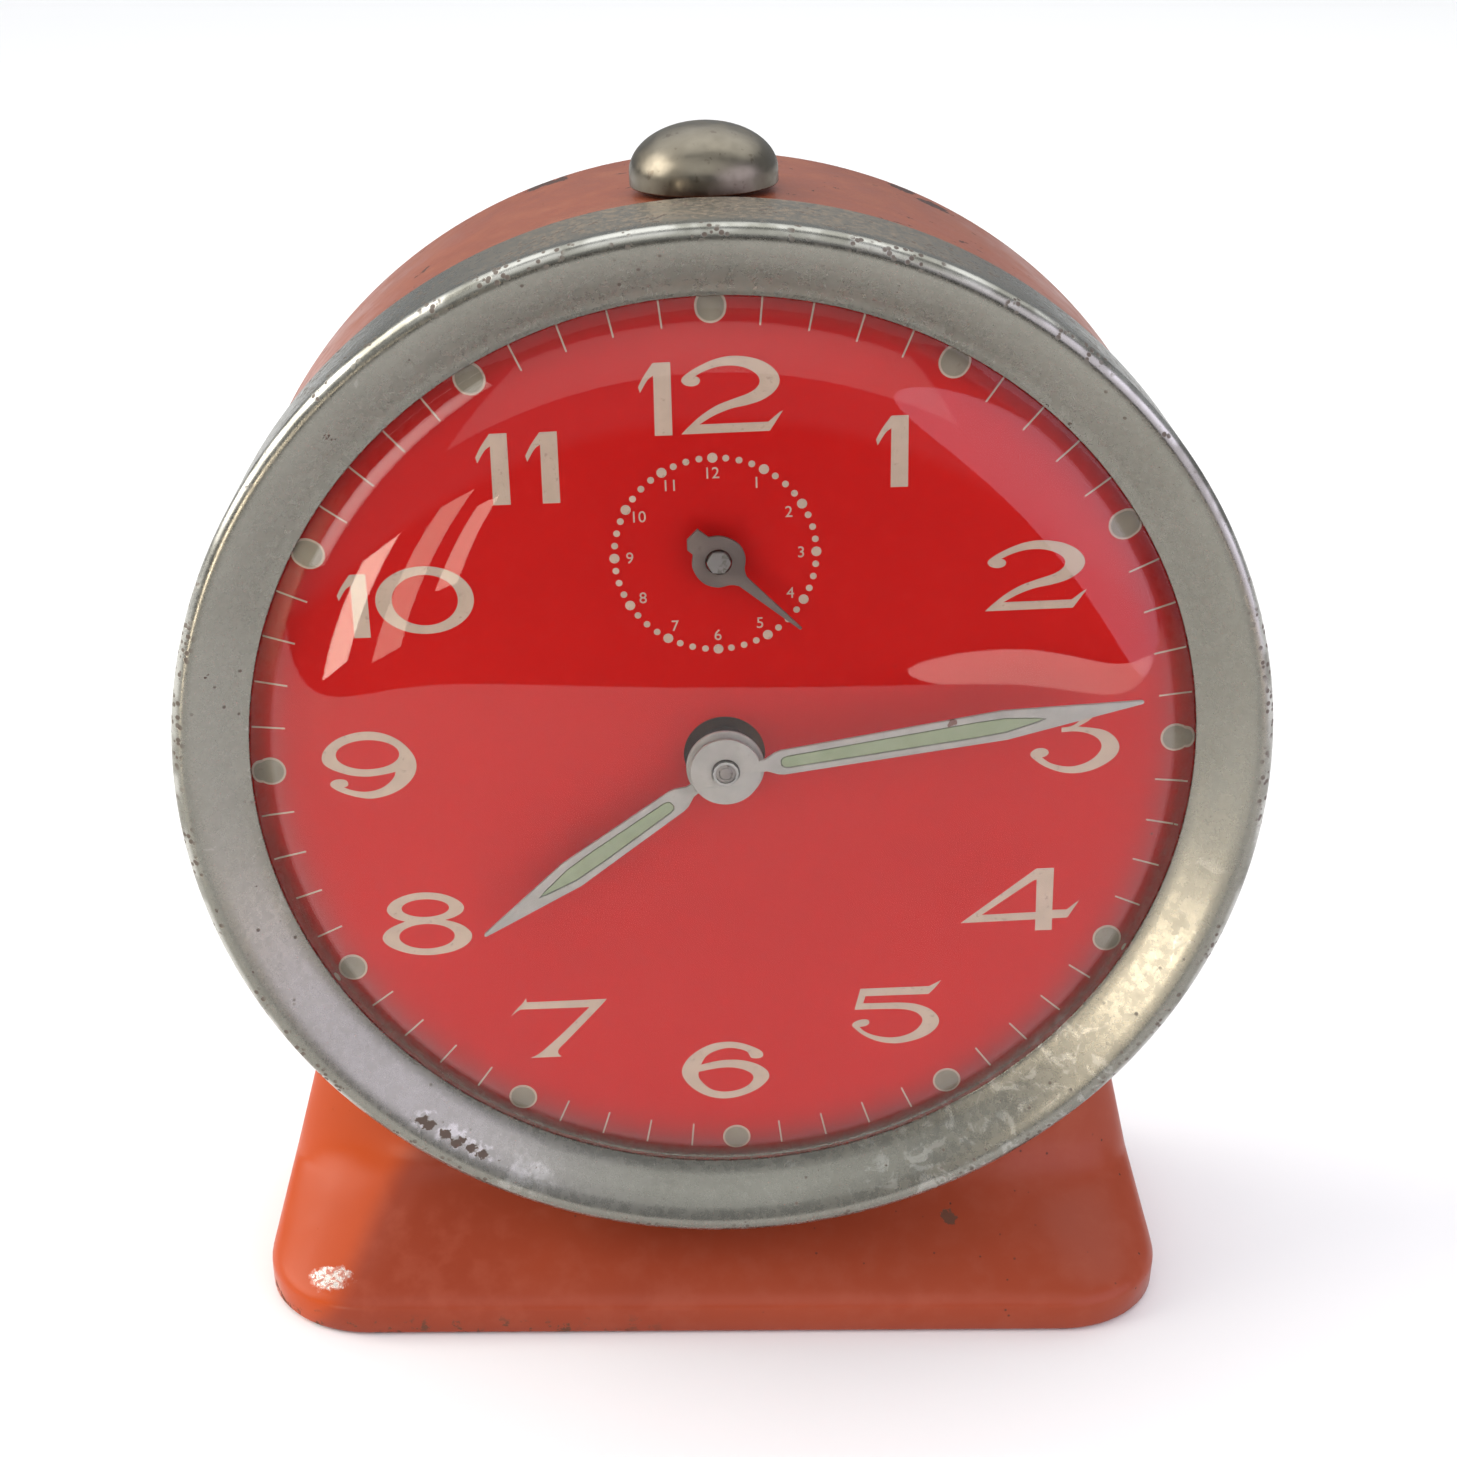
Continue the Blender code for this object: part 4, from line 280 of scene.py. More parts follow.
def flat(name, loops, front, thickness, place=on_head, bevel=0.0, angle=30):
    """A flat piece from closed loops of points, holes included, with its front at this height."""
    curve = bpy.data.curves.new(name, "CURVE")
    curve.dimensions = "2D"
    curve.fill_mode = "BOTH"
    curve.extrude = thickness / 2 - bevel
    curve.bevel_depth = bevel
    curve.bevel_resolution = 2
    curve.offset = -bevel
    for loop in loops:
        spline = curve.splines.new("POLY")
        spline.points.add(len(loop) - 1)
        for point, (x, y) in zip(spline.points, loop):
            point.co = (x, y, 0.0, 1.0)
        spline.use_cyclic_u = True
    mesh = mesh_of(curve)
    for vertex in mesh.vertices:
        x, y, up = vertex.co
        vertex.co = place(x, y, front + thickness / 2 - up)
    return tidy(place_mesh(name, mesh), angle)


def mesh_of(curve):
    """The mesh of a curve or a text."""
    helper = place_mesh("helper", curve)
    bpy.context.view_layer.update()
    mesh = bpy.data.meshes.new_from_object(helper.evaluated_get(bpy.context.evaluated_depsgraph_get()))
    bpy.data.objects.remove(helper, do_unlink=True)
    return mesh


def turned_loop(loop, bearing, centre=(0.0, 0.0)):
    """A loop turned anticlockwise and then moved."""
    cos_b, sin_b = math.cos(bearing), math.sin(bearing)
    return [(x * cos_b - y * sin_b + centre[0], x * sin_b + y * cos_b + centre[1]) for x, y in loop]


def joined(name, objects):
    """One piece from several."""
    shape = bmesh.new()
    for obj in objects:
        shape.from_mesh(obj.data)
        bpy.data.objects.remove(obj, do_unlink=True)
    mesh = bpy.data.meshes.new(name)
    shape.to_mesh(mesh)
    shape.free()
    return place_mesh(name, mesh)


def cut(obj, helper, operation="DIFFERENCE"):
    """Take a helper's shape out of an object, or add it, for good."""
    modifier = obj.modifiers.new("cut", "BOOLEAN")
    modifier.operation = operation
    modifier.solver = "EXACT"
    modifier.object = helper
    bpy.context.view_layer.update()
    mesh = bpy.data.meshes.new_from_object(obj.evaluated_get(bpy.context.evaluated_depsgraph_get()))
    obj.modifiers.clear()
    obj.data = mesh
    bpy.data.objects.remove(helper, do_unlink=True)
    return obj


class Finish:
    """A node material with a few short helpers. Its coordinates are those of the piece at rest, in metres."""

    def __init__(self, name, rough, metal=0.0, **sockets):
        self.material = bpy.data.materials.new(name)
        self.material.use_nodes = True
        self.tree = self.material.node_tree
        self.shader = self.tree.nodes["Principled BSDF"]
        self.rough(rough)
        self.metal(metal)
        for key, value in sockets.items():
            self.plug(self.shader.inputs[key.replace("_", " ")], value)
        self.coords = self.node("ShaderNodeTexCoord", "Object")

    def plug(self, socket, value):
        """Fill a socket with another node's output, a number, a vector, or a colour without its alpha."""
        if hasattr(value, "is_output"):
            self.tree.links.new(value, socket)
        elif socket.type == "RGBA":
            socket.default_value = (*value, 1.0)
        else:
            socket.default_value = value

    def node(self, kind, output, inputs=None, **settings):
        """Add a node, fill its inputs and return one of its outputs."""
        made = self.tree.nodes.new(kind)
        for key, value in settings.items():
            setattr(made, key, value)
        for key, value in (inputs or {}).items():
            self.plug(made.inputs[key], value)
        return made.outputs[output]

    def noise(self, scale, detail=3.0, rough=0.55, distortion=0.0):
        inputs = {"Scale": scale, "Detail": detail, "Roughness": rough, "Distortion": distortion}
        return self.node("ShaderNodeTexNoise", "Fac", {"Vector": self.coords, **inputs})

    def blotch(self, low, high, scale, *settings):
        """Soft-edged blotches: noise between two levels."""
        return self.step(self.noise(scale, *settings), low, high)

    def cells(self, scale):
        """Distance to the nearest of many scattered points."""
        return self.node("ShaderNodeTexVoronoi", "Distance", {"Vector": self.coords, "Scale": scale})

    def math(self, operation, a, b=0.0):
        return self.node("ShaderNodeMath", 0, {0: a, 1: b}, operation=operation)

    def times(self, *values):
        return reduce(partial(self.math, "MULTIPLY"), values)

    def most(self, *values):
        return reduce(partial(self.math, "MAXIMUM"), values)

    def step(self, value, low, high, out_low=0.0, out_high=1.0):
        """A smooth step from one value to another. With low above high it falls."""
        inputs = {"From Min": low, "From Max": high, "To Min": out_low, "To Max": out_high, "Value": value}
        return self.node("ShaderNodeMapRange", "Result", inputs, interpolation_type="SMOOTHSTEP")

    def mix(self, factor, a, b):
        """A colour between two colours."""
        return self.node("ShaderNodeMix", 2, {0: factor, 6: a, 7: b}, data_type="RGBA")

    def blend(self, factor, a, b):
        """A number between two numbers."""
        return self.node("ShaderNodeMix", 0, {0: factor, 2: a, 3: b}, data_type="FLOAT")

    def axis(self, index):
        return self.node("ShaderNodeSeparateXYZ", index, {0: self.coords})

    def away(self, point, flatten=(1.0, 1.0, 1.0)):
        """Distance in millimetres from a point of the world, with some axes flattened."""
        shift = self.node("ShaderNodeVectorMath", 0, {0: self.coords, 1: tuple(point)}, operation="SUBTRACT")
        inputs = {0: shift, 1: [share / MM for share in flatten]}
        squash = self.node("ShaderNodeVectorMath", 0, inputs, operation="MULTIPLY")
        return self.node("ShaderNodeVectorMath", "Value", {0: squash}, operation="LENGTH")

    def spot(self, point, ragged, full, none, flatten=(1.0, 1.0, 1.0)):
        """A spot with a ragged edge: 1 up to the first distance from its point, 0 beyond the second."""
        return self.step(self.math("ADD", self.away(point, flatten), ragged), none, full)

    def from_axis(self):
        """Distance in millimetres from the dial's axis."""
        return self.away((0.0, 0.0, HEAD_HEIGHT), (1.0, 0.0, 1.0))

    def depth(self):
        """Depth in millimetres behind the bezel's rim."""
        return self.times(self.math("SUBTRACT", self.axis(1), FRONT_Y), 1 / MM)

    def bump(self, height, strength, distance):
        inputs = {"Height": height, "Strength": strength, "Distance": distance * MM}
        self.plug(self.shader.inputs["Normal"], self.node("ShaderNodeBump", "Normal", inputs))

    def colour(self, value):
        self.tone = value
        self.plug(self.shader.inputs["Base Color"], value)

    def lay(self, mask, tone):
        """Lay a tone over the colour so far, as much as the mask says."""
        self.colour(self.mix(mask, self.tone, tone))

    def rough(self, value):
        self.plug(self.shader.inputs["Roughness"], value)

    def metal(self, value):
        self.plug(self.shader.inputs["Metallic"], value)


def part(obj, finish, slot, body, *nodes):
    """Dress a piece, set it on its body and hide the CAD nodes it stands for."""
    obj.data.materials.clear()
    obj.data.materials.append(finish.material)
    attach(obj, body)
    if nodes:
        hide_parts(*nodes)
    return obj


# Where the photographed wear is
BEZEL_CHIPS = (
    at(-29.6, -24.5, 25.4), at(-28.7, -24.5, 24.7), at(-27.3, -24.5, 23.7),
    at(-26.0, -24.5, 22.9), at(-24.7, -24.5, 22.0), at(-23.7, -24.5, 21.3),
)
BEZEL_CHIP_FLATTEN = (1.0, 1.0, 1.5)
BEZEL_DENT = at(-20.0, -25.0, 18.8)
BEZEL_WISPS = on_head(25.5, -39.5, 1.5)
FOOT_CHIP = at(-40.0, -22.8, 5.1)
FOOT_MARK = at(24.4, -17.6, 8.4)
# Painted light: the foot's left flank, lit from the left, is laid more orange. Its lean is across by height.
# The tone starts and is full at these x.
LIT_FLANK_LEAN = 0.67
LIT_FLANK_REACH = (-0.0398, -0.0432)
DRUM_CHIPS = (at(-18.0, 11.6, 110.1), at(-16.0, 11.1, 110.7), at(17.5, 11.1, 110.2), at(20.4, 9.5, 109.1))
HAND_CHIP = at(20.8, -24.7, 68.4)


def paint_finish(name, low, high, pale, gloss):
    """The start of an old enamel: uneven colour between two tones, a paler one worn in, dark specks."""
    f = Finish(name, 0.36, Specular_IOR_Level=gloss, Coat_Weight=gloss / 4, Coat_Roughness=0.2)
    fine = f.noise(330, 4, 0.6)
    f.colour(f.mix(f.blotch(0.3, 0.7, 24), low, high))
    f.lay(f.times(f.step(fine, 0.42, 0.72), 0.3), pale)
    sparse = f.blotch(0.52, 0.60, 55, 2)
    specks = f.times(f.step(f.cells(470), 0.085, 0.04), sparse)
    f.lay(specks, (0.09, 0.03, 0.02))
    return f, fine, specks


def finish_paint(f, fine, bare, dull):
    """Close an enamel: bare metal where it is chipped, dull where it is rusty."""
    f.metal(f.blend(bare, 0.0, 0.9))
    rough = f.step(fine, 0.3, 0.8, 0.28, 0.42)
    f.rough(f.blend(dull, f.blend(bare, rough, 0.25), 0.75))
    hollow = f.most(bare, dull)
    f.bump(f.math("SUBTRACT", f.times(f.noise(950, 2), 0.22), hollow), 0.4, 0.05)


def foot_finish():
    """The foot's enamel, with its left flank laid more orange as painted light, a pale chip, a dark mark and
    rust at the floor.
    """
    colours = ((0.235, 0.038, 0.016), (0.285, 0.050, 0.021), (0.33, 0.078, 0.042))
    f, fine, specks = paint_finish("foot_paint", *colours, 0.16)
    # Painted light: the left flank, where the light from the left falls, is laid more orange
    lit_flank = f.math("SUBTRACT", f.axis(0), f.times(f.axis(2), LIT_FLANK_LEAN))
    f.lay(f.step(lit_flank, *LIT_FLANK_REACH, 0.0, 0.85), (0.43, 0.062, 0.010))
    ragged = f.times(f.noise(1100, 4, 0.7), 2.6)
    chip = f.spot(FOOT_CHIP, ragged, 2.4, 3.0, (0.62, 1.0, 1.3))
    chip = f.times(chip, f.step(f.noise(1300, 4, 0.7, 0.5), 0.44, 0.56, 0.25, 1.0))
    f.lay(chip, (0.50, 0.46, 0.42))
    low = f.step(f.axis(2), 0.0030, 0.0012)
    rust = f.times(low, f.blotch(0.55, 0.62, 620, 4, 0.7), f.step(f.axis(0), 0.0, -0.016))
    mark = f.spot(FOOT_MARK, ragged, 2.1, 2.35)
    dull = f.most(rust, f.times(mark, 0.8), specks)
    f.lay(f.most(rust, mark), (0.12, 0.05, 0.03))
    finish_paint(f, fine, chip, dull)
    return f


def drum_finish():
    """The drum's enamel, rubbed dull in places, with dark chips."""
    colours = ((0.24, 0.054, 0.022), (0.30, 0.072, 0.031), (0.35, 0.127, 0.065))
    f, fine, specks = paint_finish("drum_paint", *colours, 0.32)
    ragged = f.times(f.noise(420, 5, 0.72), 5.2)
    chips = f.blotch(0.640, 0.655, 300, 5, 0.72, 0.5)
    for place in DRUM_CHIPS:
        chips = f.most(chips, f.spot(place, ragged, 3.7, 4.0, (0.7, 1.2, 1.0)))
    rubbed = f.times(f.blotch(0.44, 0.62, 120, 5, 0.7), f.step(f.depth(), 20.0, 10.0, 0.35, 1.0))
    f.lay(f.times(rubbed, 0.5), (0.22, 0.105, 0.07))
    f.lay(chips, (0.06, 0.03, 0.024))
    finish_paint(f, fine, 0.0, f.most(chips, specks, f.times(rubbed, 0.6)))
    return f


def nickel_finish():
    """Satin nickel with pits, pale wisps, chips, a painted highlight along its outer rim and brown rust on
    the top of the band.
    """
    f = Finish("satin_nickel", 0.3, 0.9)
    fine = f.noise(900, 4, 0.7)
    f.colour(f.mix(f.blotch(0.35, 0.65, 60, 4, 0.6), (0.208, 0.205, 0.175), (0.234, 0.231, 0.199)))
    f.lay(f.times(f.blotch(0.35, 0.75, 1500, 3, 0.7), 0.3), (0.285, 0.28, 0.245))
    thin = f.blotch(0.53, 0.60, 330, 6, 0.7, 1.2)
    wisps = f.times(thin, f.step(f.away(BEZEL_WISPS), 19.0, 10.0), 0.6)
    stray = f.times(f.blotch(0.62, 0.68, 380, 5, 0.65, 1.0), f.blotch(0.50, 0.60, 40, 2), 0.35)
    f.lay(f.most(wisps, stray), (0.42, 0.42, 0.385))
    # Painted highlight: the outermost rim is laid paler, as a bright line along the rolled edge
    rim_highlight_band = f.times(f.step(f.from_axis(), 50.1, 50.6), f.step(f.depth(), 1.3, 0.7))
    rim = f.times(rim_highlight_band, f.blotch(0.40, 0.55, 160))
    f.lay(f.times(rim, 0.7), (0.56, 0.56, 0.52))
    ragged = f.times(f.noise(900, 4, 0.7), 2.4)
    chips = f.blotch(0.700, 0.715, 520, 4, 0.72)
    patchy = f.blotch(0.46, 0.58, 800, 3)
    pale = 0.0
    for place in BEZEL_CHIPS:
        chips = f.most(chips, f.spot(place, ragged, 1.8, 1.95, BEZEL_CHIP_FLATTEN))
        around_chip = f.spot(place, ragged, 2.3, 2.9, BEZEL_CHIP_FLATTEN)
        pale = f.most(pale, f.times(around_chip, patchy))
    dent = f.spot(BEZEL_DENT, ragged, 2.2, 5.2, (0.7, 1.0, 1.3))
    pale = f.most(pale, f.times(dent, f.blotch(0.40, 0.62, 500, 4, 0.7)))
    f.lay(f.times(pale, 0.6), (0.46, 0.455, 0.42))
    pits = f.times(f.step(f.cells(620), 0.14, 0.07), f.blotch(0.46, 0.60, 110))
    edge = f.step(f.from_axis(), 49.4, 50.2)
    edge_pits = f.times(f.step(f.cells(1500), 0.40, 0.30), f.blotch(0.50, 0.58, 230), edge)
    top = f.times(f.step(f.axis(2), HEAD_HEIGHT + 0.0420, HEAD_HEIGHT + 0.0500), f.step(f.depth(), 1.6, 3.2))
    rust = f.times(f.step(f.noise(1400, 4, 0.75), 0.40, 0.66, 0.25, 1.0), top)
    f.lay(f.times(rust, 0.75), (0.33, 0.245, 0.165))
    dark = f.most(f.times(pits, 0.8), chips, f.times(edge_pits, 0.85))
    f.lay(dark, (0.085, 0.06, 0.045))
    dull = f.most(dark, f.times(rust, 0.35))
    f.metal(f.blend(dull, 0.9, 0.2))
    f.rough(f.blend(dull, f.step(fine, 0.3, 0.75, 0.23, 0.33), 0.7))
    f.bump(f.math("SUBTRACT", f.times(fine, 0.35), dull), 0.4, 0.05)
    return f


def bright_finish(name, low, high, rough_low, rough_high, speck=0.0):
    """Polished or turned metal with small dark marks."""
    f = Finish(name, rough_low, 1.0)
    fine = f.noise(820, 4, 0.6)
    f.colour(f.mix(f.blotch(0.35, 0.65, 130), low, high))
    marks = f.times(f.blotch(0.60, 0.68, 680, 4, 0.7), speck)
    f.lay(marks, (0.10, 0.08, 0.06))
    f.rough(f.step(fine, 0.3, 0.75, rough_low, rough_high))
    f.bump(fine, 0.25, 0.03)
    return f


def dial_finish():
    """Red print, darker towards its rim as painted shade under the bezel, with a few specks."""
    f = Finish("dial_red", 0.42, Specular_IOR_Level=0.12)
    f.colour(f.mix(f.blotch(0.3, 0.7, 28), (0.56, 0.0065, 0.005), (0.60, 0.0085, 0.006)))
    f.lay(f.times(f.blotch(0.5, 0.8, 900), 0.2), (0.66, 0.022, 0.018))
    # Painted shade: the outer part of the dial is laid darker, as shade under the bezel's lip
    f.lay(f.times(f.step(f.from_axis(), 39.5, 45.0), 0.5), (0.20, 0.010, 0.008))
    specks = f.times(f.step(f.cells(300), 0.05, 0.02), f.blotch(0.56, 0.64, 70, 2))
    f.lay(specks, (0.07, 0.02, 0.015))
    f.rough(f.step(f.noise(500), 0.3, 0.7, 0.38, 0.5))
    f.bump(f.noise(1400, 2), 0.12, 0.03)
    return f


def print_finish(name, low, high, speck=0.35, chip=None):
    """Thick matt ink or paint with small flaws."""
    f = Finish(name, 0.55)
    f.colour(f.mix(f.blotch(0.3, 0.7, 420, 4, 0.6), low, high))
    marks = f.times(f.blotch(0.60, 0.70, 1500, 3, 0.7), speck)
    if chip is not None:
        ragged = f.times(f.noise(2600, 3, 0.7), 1.1)
        marks = f.most(marks, f.spot(chip, ragged, 0.9, 1.0, (1.0, 1.0, 0.7)))
    f.lay(marks, (0.20, 0.10, 0.075))
    f.bump(f.noise(2600, 2), 0.2, 0.02)
    return f


def glass_finish():
    """Thin clear glass with faint reflections."""
    f = Finish("clear_glass", 0.015, IOR=1.31, Transmission_Weight=1.0)
    f.colour((0.99, 0.985, 0.98))
    return f


FOOT_PAINT = foot_finish()
DRUM_PAINT = drum_finish()
NICKEL = nickel_finish()
WARM_NICKEL = bright_finish("warm_nickel", (0.150, 0.133, 0.102), (0.205, 0.185, 0.145), 0.28, 0.44, 0.6)
BRASS = bright_finish("brass", (0.48, 0.33, 0.11), (0.60, 0.43, 0.17), 0.24, 0.40, 0.5)
AGED_BRASS = bright_finish("aged_brass", (0.07, 0.042, 0.026), (0.15, 0.085, 0.052), 0.40, 0.60, 0.7)
STEEL = bright_finish("steel", (0.29, 0.285, 0.275), (0.40, 0.395, 0.38), 0.28, 0.42, 0.5)
DULL_STEEL = bright_finish("dull_steel", (0.17, 0.155, 0.14), (0.28, 0.26, 0.24), 0.38, 0.55, 0.8)
BLUED = bright_finish("blued_steel", (0.03, 0.045, 0.11), (0.06, 0.08, 0.18), 0.22, 0.36)
ALARM_GREY = bright_finish("alarm_grey", (0.13, 0.105, 0.092), (0.18, 0.148, 0.13), 0.42, 0.6, 0.4)
ALARM_GREY.metal(0.35)
DIAL_RED = dial_finish()
CREAM = print_finish("cream_print", (0.52, 0.41, 0.31), (0.59, 0.465, 0.355))
DOT_FILL = print_finish("dot_fill", (0.25, 0.225, 0.16), (0.31, 0.28, 0.205))
HAND_PAINT = print_finish("hand_paint", (0.375, 0.37, 0.335), (0.45, 0.445, 0.405), 0.2, HAND_CHIP)
LUME = print_finish("luminous_paint", (0.27, 0.335, 0.20), (0.33, 0.39, 0.25), 0.15)
LUME_BED = print_finish("luminous_bed", (0.10, 0.12, 0.07), (0.15, 0.17, 0.10), 0.3)
GLASS = glass_finish()


def make_bezel():
    """The nickel ring: band, rolled edge and a dish down to the glass."""
    edge = BEZEL_RADIUS - 1.2
    outline = [(BEZEL_RADIUS, BEZEL_BACK), (BEZEL_RADIUS, 6.0)]
    outline += arc((edge, 1.2), (1.2, 1.2), 0.0, -QUARTER, 8)
    outline += [(49.2, 0.16), (48.2, 0.72), (46.9, 1.55), (45.6, 2.40), (44.6, 2.98), (44.28, 3.08)]
    outline += [(BEZEL_INNER, 3.2), (BEZEL_INNER, 3.5), (44.9, 3.45), (46.9, 2.15), (49.0, 0.75), (50.2, 0.9)]
    outline += [(BEZEL_RADIUS - BEZEL_SHEET, 1.6), (BEZEL_RADIUS - BEZEL_SHEET, BEZEL_BACK)]
    part(lathe("bezel_ring", outline, steps=FINE), NICKEL, "satin_nickel", "case", "bezel")


def glass_depth(share):
    """Depth of the glass's face: nearly flat, then round at its edge."""
    edge = BEZEL_LIP_DEPTH + 0.45 - GLASS_APEX
    return GLASS_APEX + edge * (0.25 * share**2 + 0.75 * share**12)


def make_crystal():
    """A thin domed glass whose edge goes behind the bezel's lip."""
    count = 48
    face = [(GLASS_RADIUS * step / count, glass_depth(step / count)) for step in range(count + 1)]
    back = [(0.0, GLASS_APEX + GLASS_SHEET)]
    for (r0, d0), (r1, d1) in zip(face, face[1:]):
        length = math.hypot(r1 - r0, d1 - d0)
        inward, rearward = GLASS_SHEET * (d1 - d0) / length, GLASS_SHEET * (r1 - r0) / length
        back.append(((r0 + r1) / 2 - inward, (d0 + d1) / 2 + rearward))
    dome = lathe("glass_dome", face + back[::-1], steps=FINE, angle=60)
    part(dome, GLASS, "clear_glass", "case", "crystal")


def make_drum():
    """The painted can, its rear edge rolled over."""
    bore = DRUM_RADIUS - DRUM_SHEET
    round_edge = 0.9
    rear = DRUM_BACK - round_edge
    outline = [(bore - 4.0, DRUM_FRONT), (DRUM_RADIUS, DRUM_FRONT), (DRUM_RADIUS, 12.0), (DRUM_RADIUS, 24.0)]
    outline += arc((DRUM_RADIUS - round_edge, rear), (round_edge, round_edge), 0.0, QUARTER, 5)
    outline += [(bore - 2.0, DRUM_BACK), (bore - 2.0, DRUM_BACK - DRUM_SHEET)]
    outline += [(bore - 0.6, DRUM_BACK - DRUM_SHEET), (bore, DRUM_BACK - DRUM_SHEET - 0.6)]
    outline += [(bore, DRUM_FRONT + DRUM_SHEET), (bore - 4.0, DRUM_FRONT + DRUM_SHEET)]
    drum = lathe("drum_skin", outline, steps=FINE)
    bush = [(0.0, 52.0), (3.0, 52.0), (3.0, 46.0), (0.0, 46.0)]
    cut(drum, lathe("bush_hole", bush, on_top, SMALL))
    part(tidy(drum), DRUM_PAINT, "coral_paint", "case", "drum_case")


FOOT_HALF_WIDTH = 46.9
FOOT_TOP_HALF_WIDTH = 38.9
FOOT_HALF_DEPTH = 20.7
FOOT_WAIST = 7.6
FOOT_CORNER = 11.2
FOOT_TOP_CORNER = 15.0
FOOT_TOP = 34.5
FOOT_SKIRT = 3.0
FOOT_EDGE = 1.0
FOOT_SHEET = 0.9
FOOT_LIP = 2.2
FOOT_CREASE = 0.30
CORNER_STEPS = 16
SIDE_STEPS = 8
LEVEL_STEPS = 5
EDGE_STEPS = 4
SADDLE = DRUM_RADIUS + 0.3
SADDLE_REACH = 24.0
# Height above the skirt, and how far the sides lean, the faces draw in and the corners grow, all as shares
FOOT_SHARES = (
    (0.0, 0.0, 0.0, 0.0), (0.032, 0.025, 0.04, 0.02), (0.064, 0.06, 0.145, 0.15),
    (0.127, 0.125, 0.405, 0.45), (0.190, 0.19, 0.65, 0.75), (0.254, 0.254, 0.847, 0.95),
    (0.317, 0.317, 0.954, 1.0), (0.413, 0.413, 1.0, 1.0), (1.0, 1.0, 1.0, 1.0),
)


def foot_levels():
    """The foot's shares, with smooth steps between them."""
    levels = []
    for index, (start, end) in enumerate(zip(FOOT_SHARES, FOOT_SHARES[1:])):
        before = FOOT_SHARES[max(index - 1, 0)]
        after = FOOT_SHARES[min(index + 2, len(FOOT_SHARES) - 1)]
        rise = end[0] - start[0]
        for step in range(LEVEL_STEPS):
            share = step / LEVEL_STEPS
            level = [start[0] + rise * share]
            for k in (1, 2, 3):
                leave = (end[k] - before[k]) / (end[0] - before[0]) * rise if index else 0.0
                arrive = (after[k] - start[k]) / (after[0] - start[0]) * rise
                level.append(min(hermite(leave, start[k], end[k], arrive, share), 1.0))
            levels.append(level)
    levels.append(FOOT_SHARES[-1])
    return levels


def foot_ring(height, lean, pull, growth, inset):
    """One level of the foot. Its corners are round at the floor and softly creased higher up."""
    half_x = FOOT_HALF_WIDTH + (FOOT_TOP_HALF_WIDTH - FOOT_HALF_WIDTH) * lean - inset
    half_y = FOOT_HALF_DEPTH + (FOOT_WAIST - FOOT_HALF_DEPTH) * pull - inset
    corner_x = FOOT_CORNER + (FOOT_TOP_CORNER - FOOT_CORNER) * growth - inset
    corner_y = min(FOOT_CORNER - inset, half_y - 0.08)
    power = 1.0 + FOOT_CREASE * growth
    points = []
    for turn, (sign_x, sign_y) in enumerate(((1, 1), (-1, 1), (-1, -1), (1, -1))):
        centre = (sign_x * (half_x - corner_x), sign_y * (half_y - corner_y))
        corner = []
        for step in range(CORNER_STEPS + 1):
            bearing = QUARTER * (turn + step / CORNER_STEPS)
            cos_b, sin_b = math.cos(bearing), math.sin(bearing)
            x = centre[0] + corner_x * math.copysign(abs(cos_b) ** power, cos_b)
            corner.append((x, centre[1] + corner_y * math.copysign(abs(sin_b) ** power, sin_b)))
        points += corner
        side = turn % 2 == 0
        goal = (-corner[-1][0], corner[-1][1]) if side else (corner[-1][0], -corner[-1][1])
        for step in range(1, SIDE_STEPS):
            share = step / SIDE_STEPS
            points.append(tuple(a + (b - a) * share for a, b in zip(corner[-1], goal)))
    middle = FRONT_Y / MM + MIDDLE_DEPTH
    return [Vector((x, middle + y, height)) * MM for x, y in points]


def foot_body(name, inset):
    """The foot's outside, or with an inset its hollow, narrower at the turned-in lip."""
    if inset:
        rings = [foot_ring(height, 0, 0, 0, inset + FOOT_LIP) for height in (-2.0, inset)]
        rings.append(foot_ring(inset, 0, 0, 0, inset))
    else:
        rings = []
        for step in range(EDGE_STEPS):
            angle = QUARTER * step / EDGE_STEPS
            height, draw = FOOT_EDGE * (1 - math.cos(angle)), FOOT_EDGE * (1 - math.sin(angle))
            rings.append(foot_ring(height, 0, 0, 0, draw))
    rise = FOOT_TOP - FOOT_SKIRT
    for share, lean, pull, growth in foot_levels():
        rings.append(foot_ring(FOOT_SKIRT + share * rise - inset, lean, pull, growth, inset))
    count = len(rings[0])
    verts = [point for ring in rings for point in ring]
    rows = [range(start, start + count) for start in range(0, len(verts), count)]
    faces = [rows[0], rows[-1]]
    for low, high in zip(rows, rows[1:]):
        faces += strip(low, high)
    return tidy(add(name, verts, faces))


def saddle(radius):
    """A cylinder that cuts the drum's round out of the foot."""
    outline = [(0.0, -SADDLE_REACH), (radius, -SADDLE_REACH), (radius, SADDLE_REACH), (0.0, SADDLE_REACH)]
    return lathe("saddle", outline, on_axis, FINE)


def make_foot():
    """The pressed foot: a flared body, hollow below, cut to a saddle for the drum."""
    hollow = cut(foot_body("foot_hollow", FOOT_SHEET), saddle(SADDLE + FOOT_SHEET))
    foot = foot_body("foot_shell", 0.0)
    cut(foot, saddle(SADDLE))
    cut(foot, hollow)
    part(tidy(foot, 32), FOOT_PAINT, "coral_paint", "case", "foot")
    seat = SADDLE + FOOT_SHEET + 0.3
    for side, angle in (("left", math.radians(15)), ("right", math.radians(-15))):
        screw = slotted_screw(f"foot_screw_{side}_head", 2.6, 1.4, seat, 1.3, seat - 4.2, below(angle))
        part(screw, STEEL, "steel", "case", f"foot_screw_{side}")


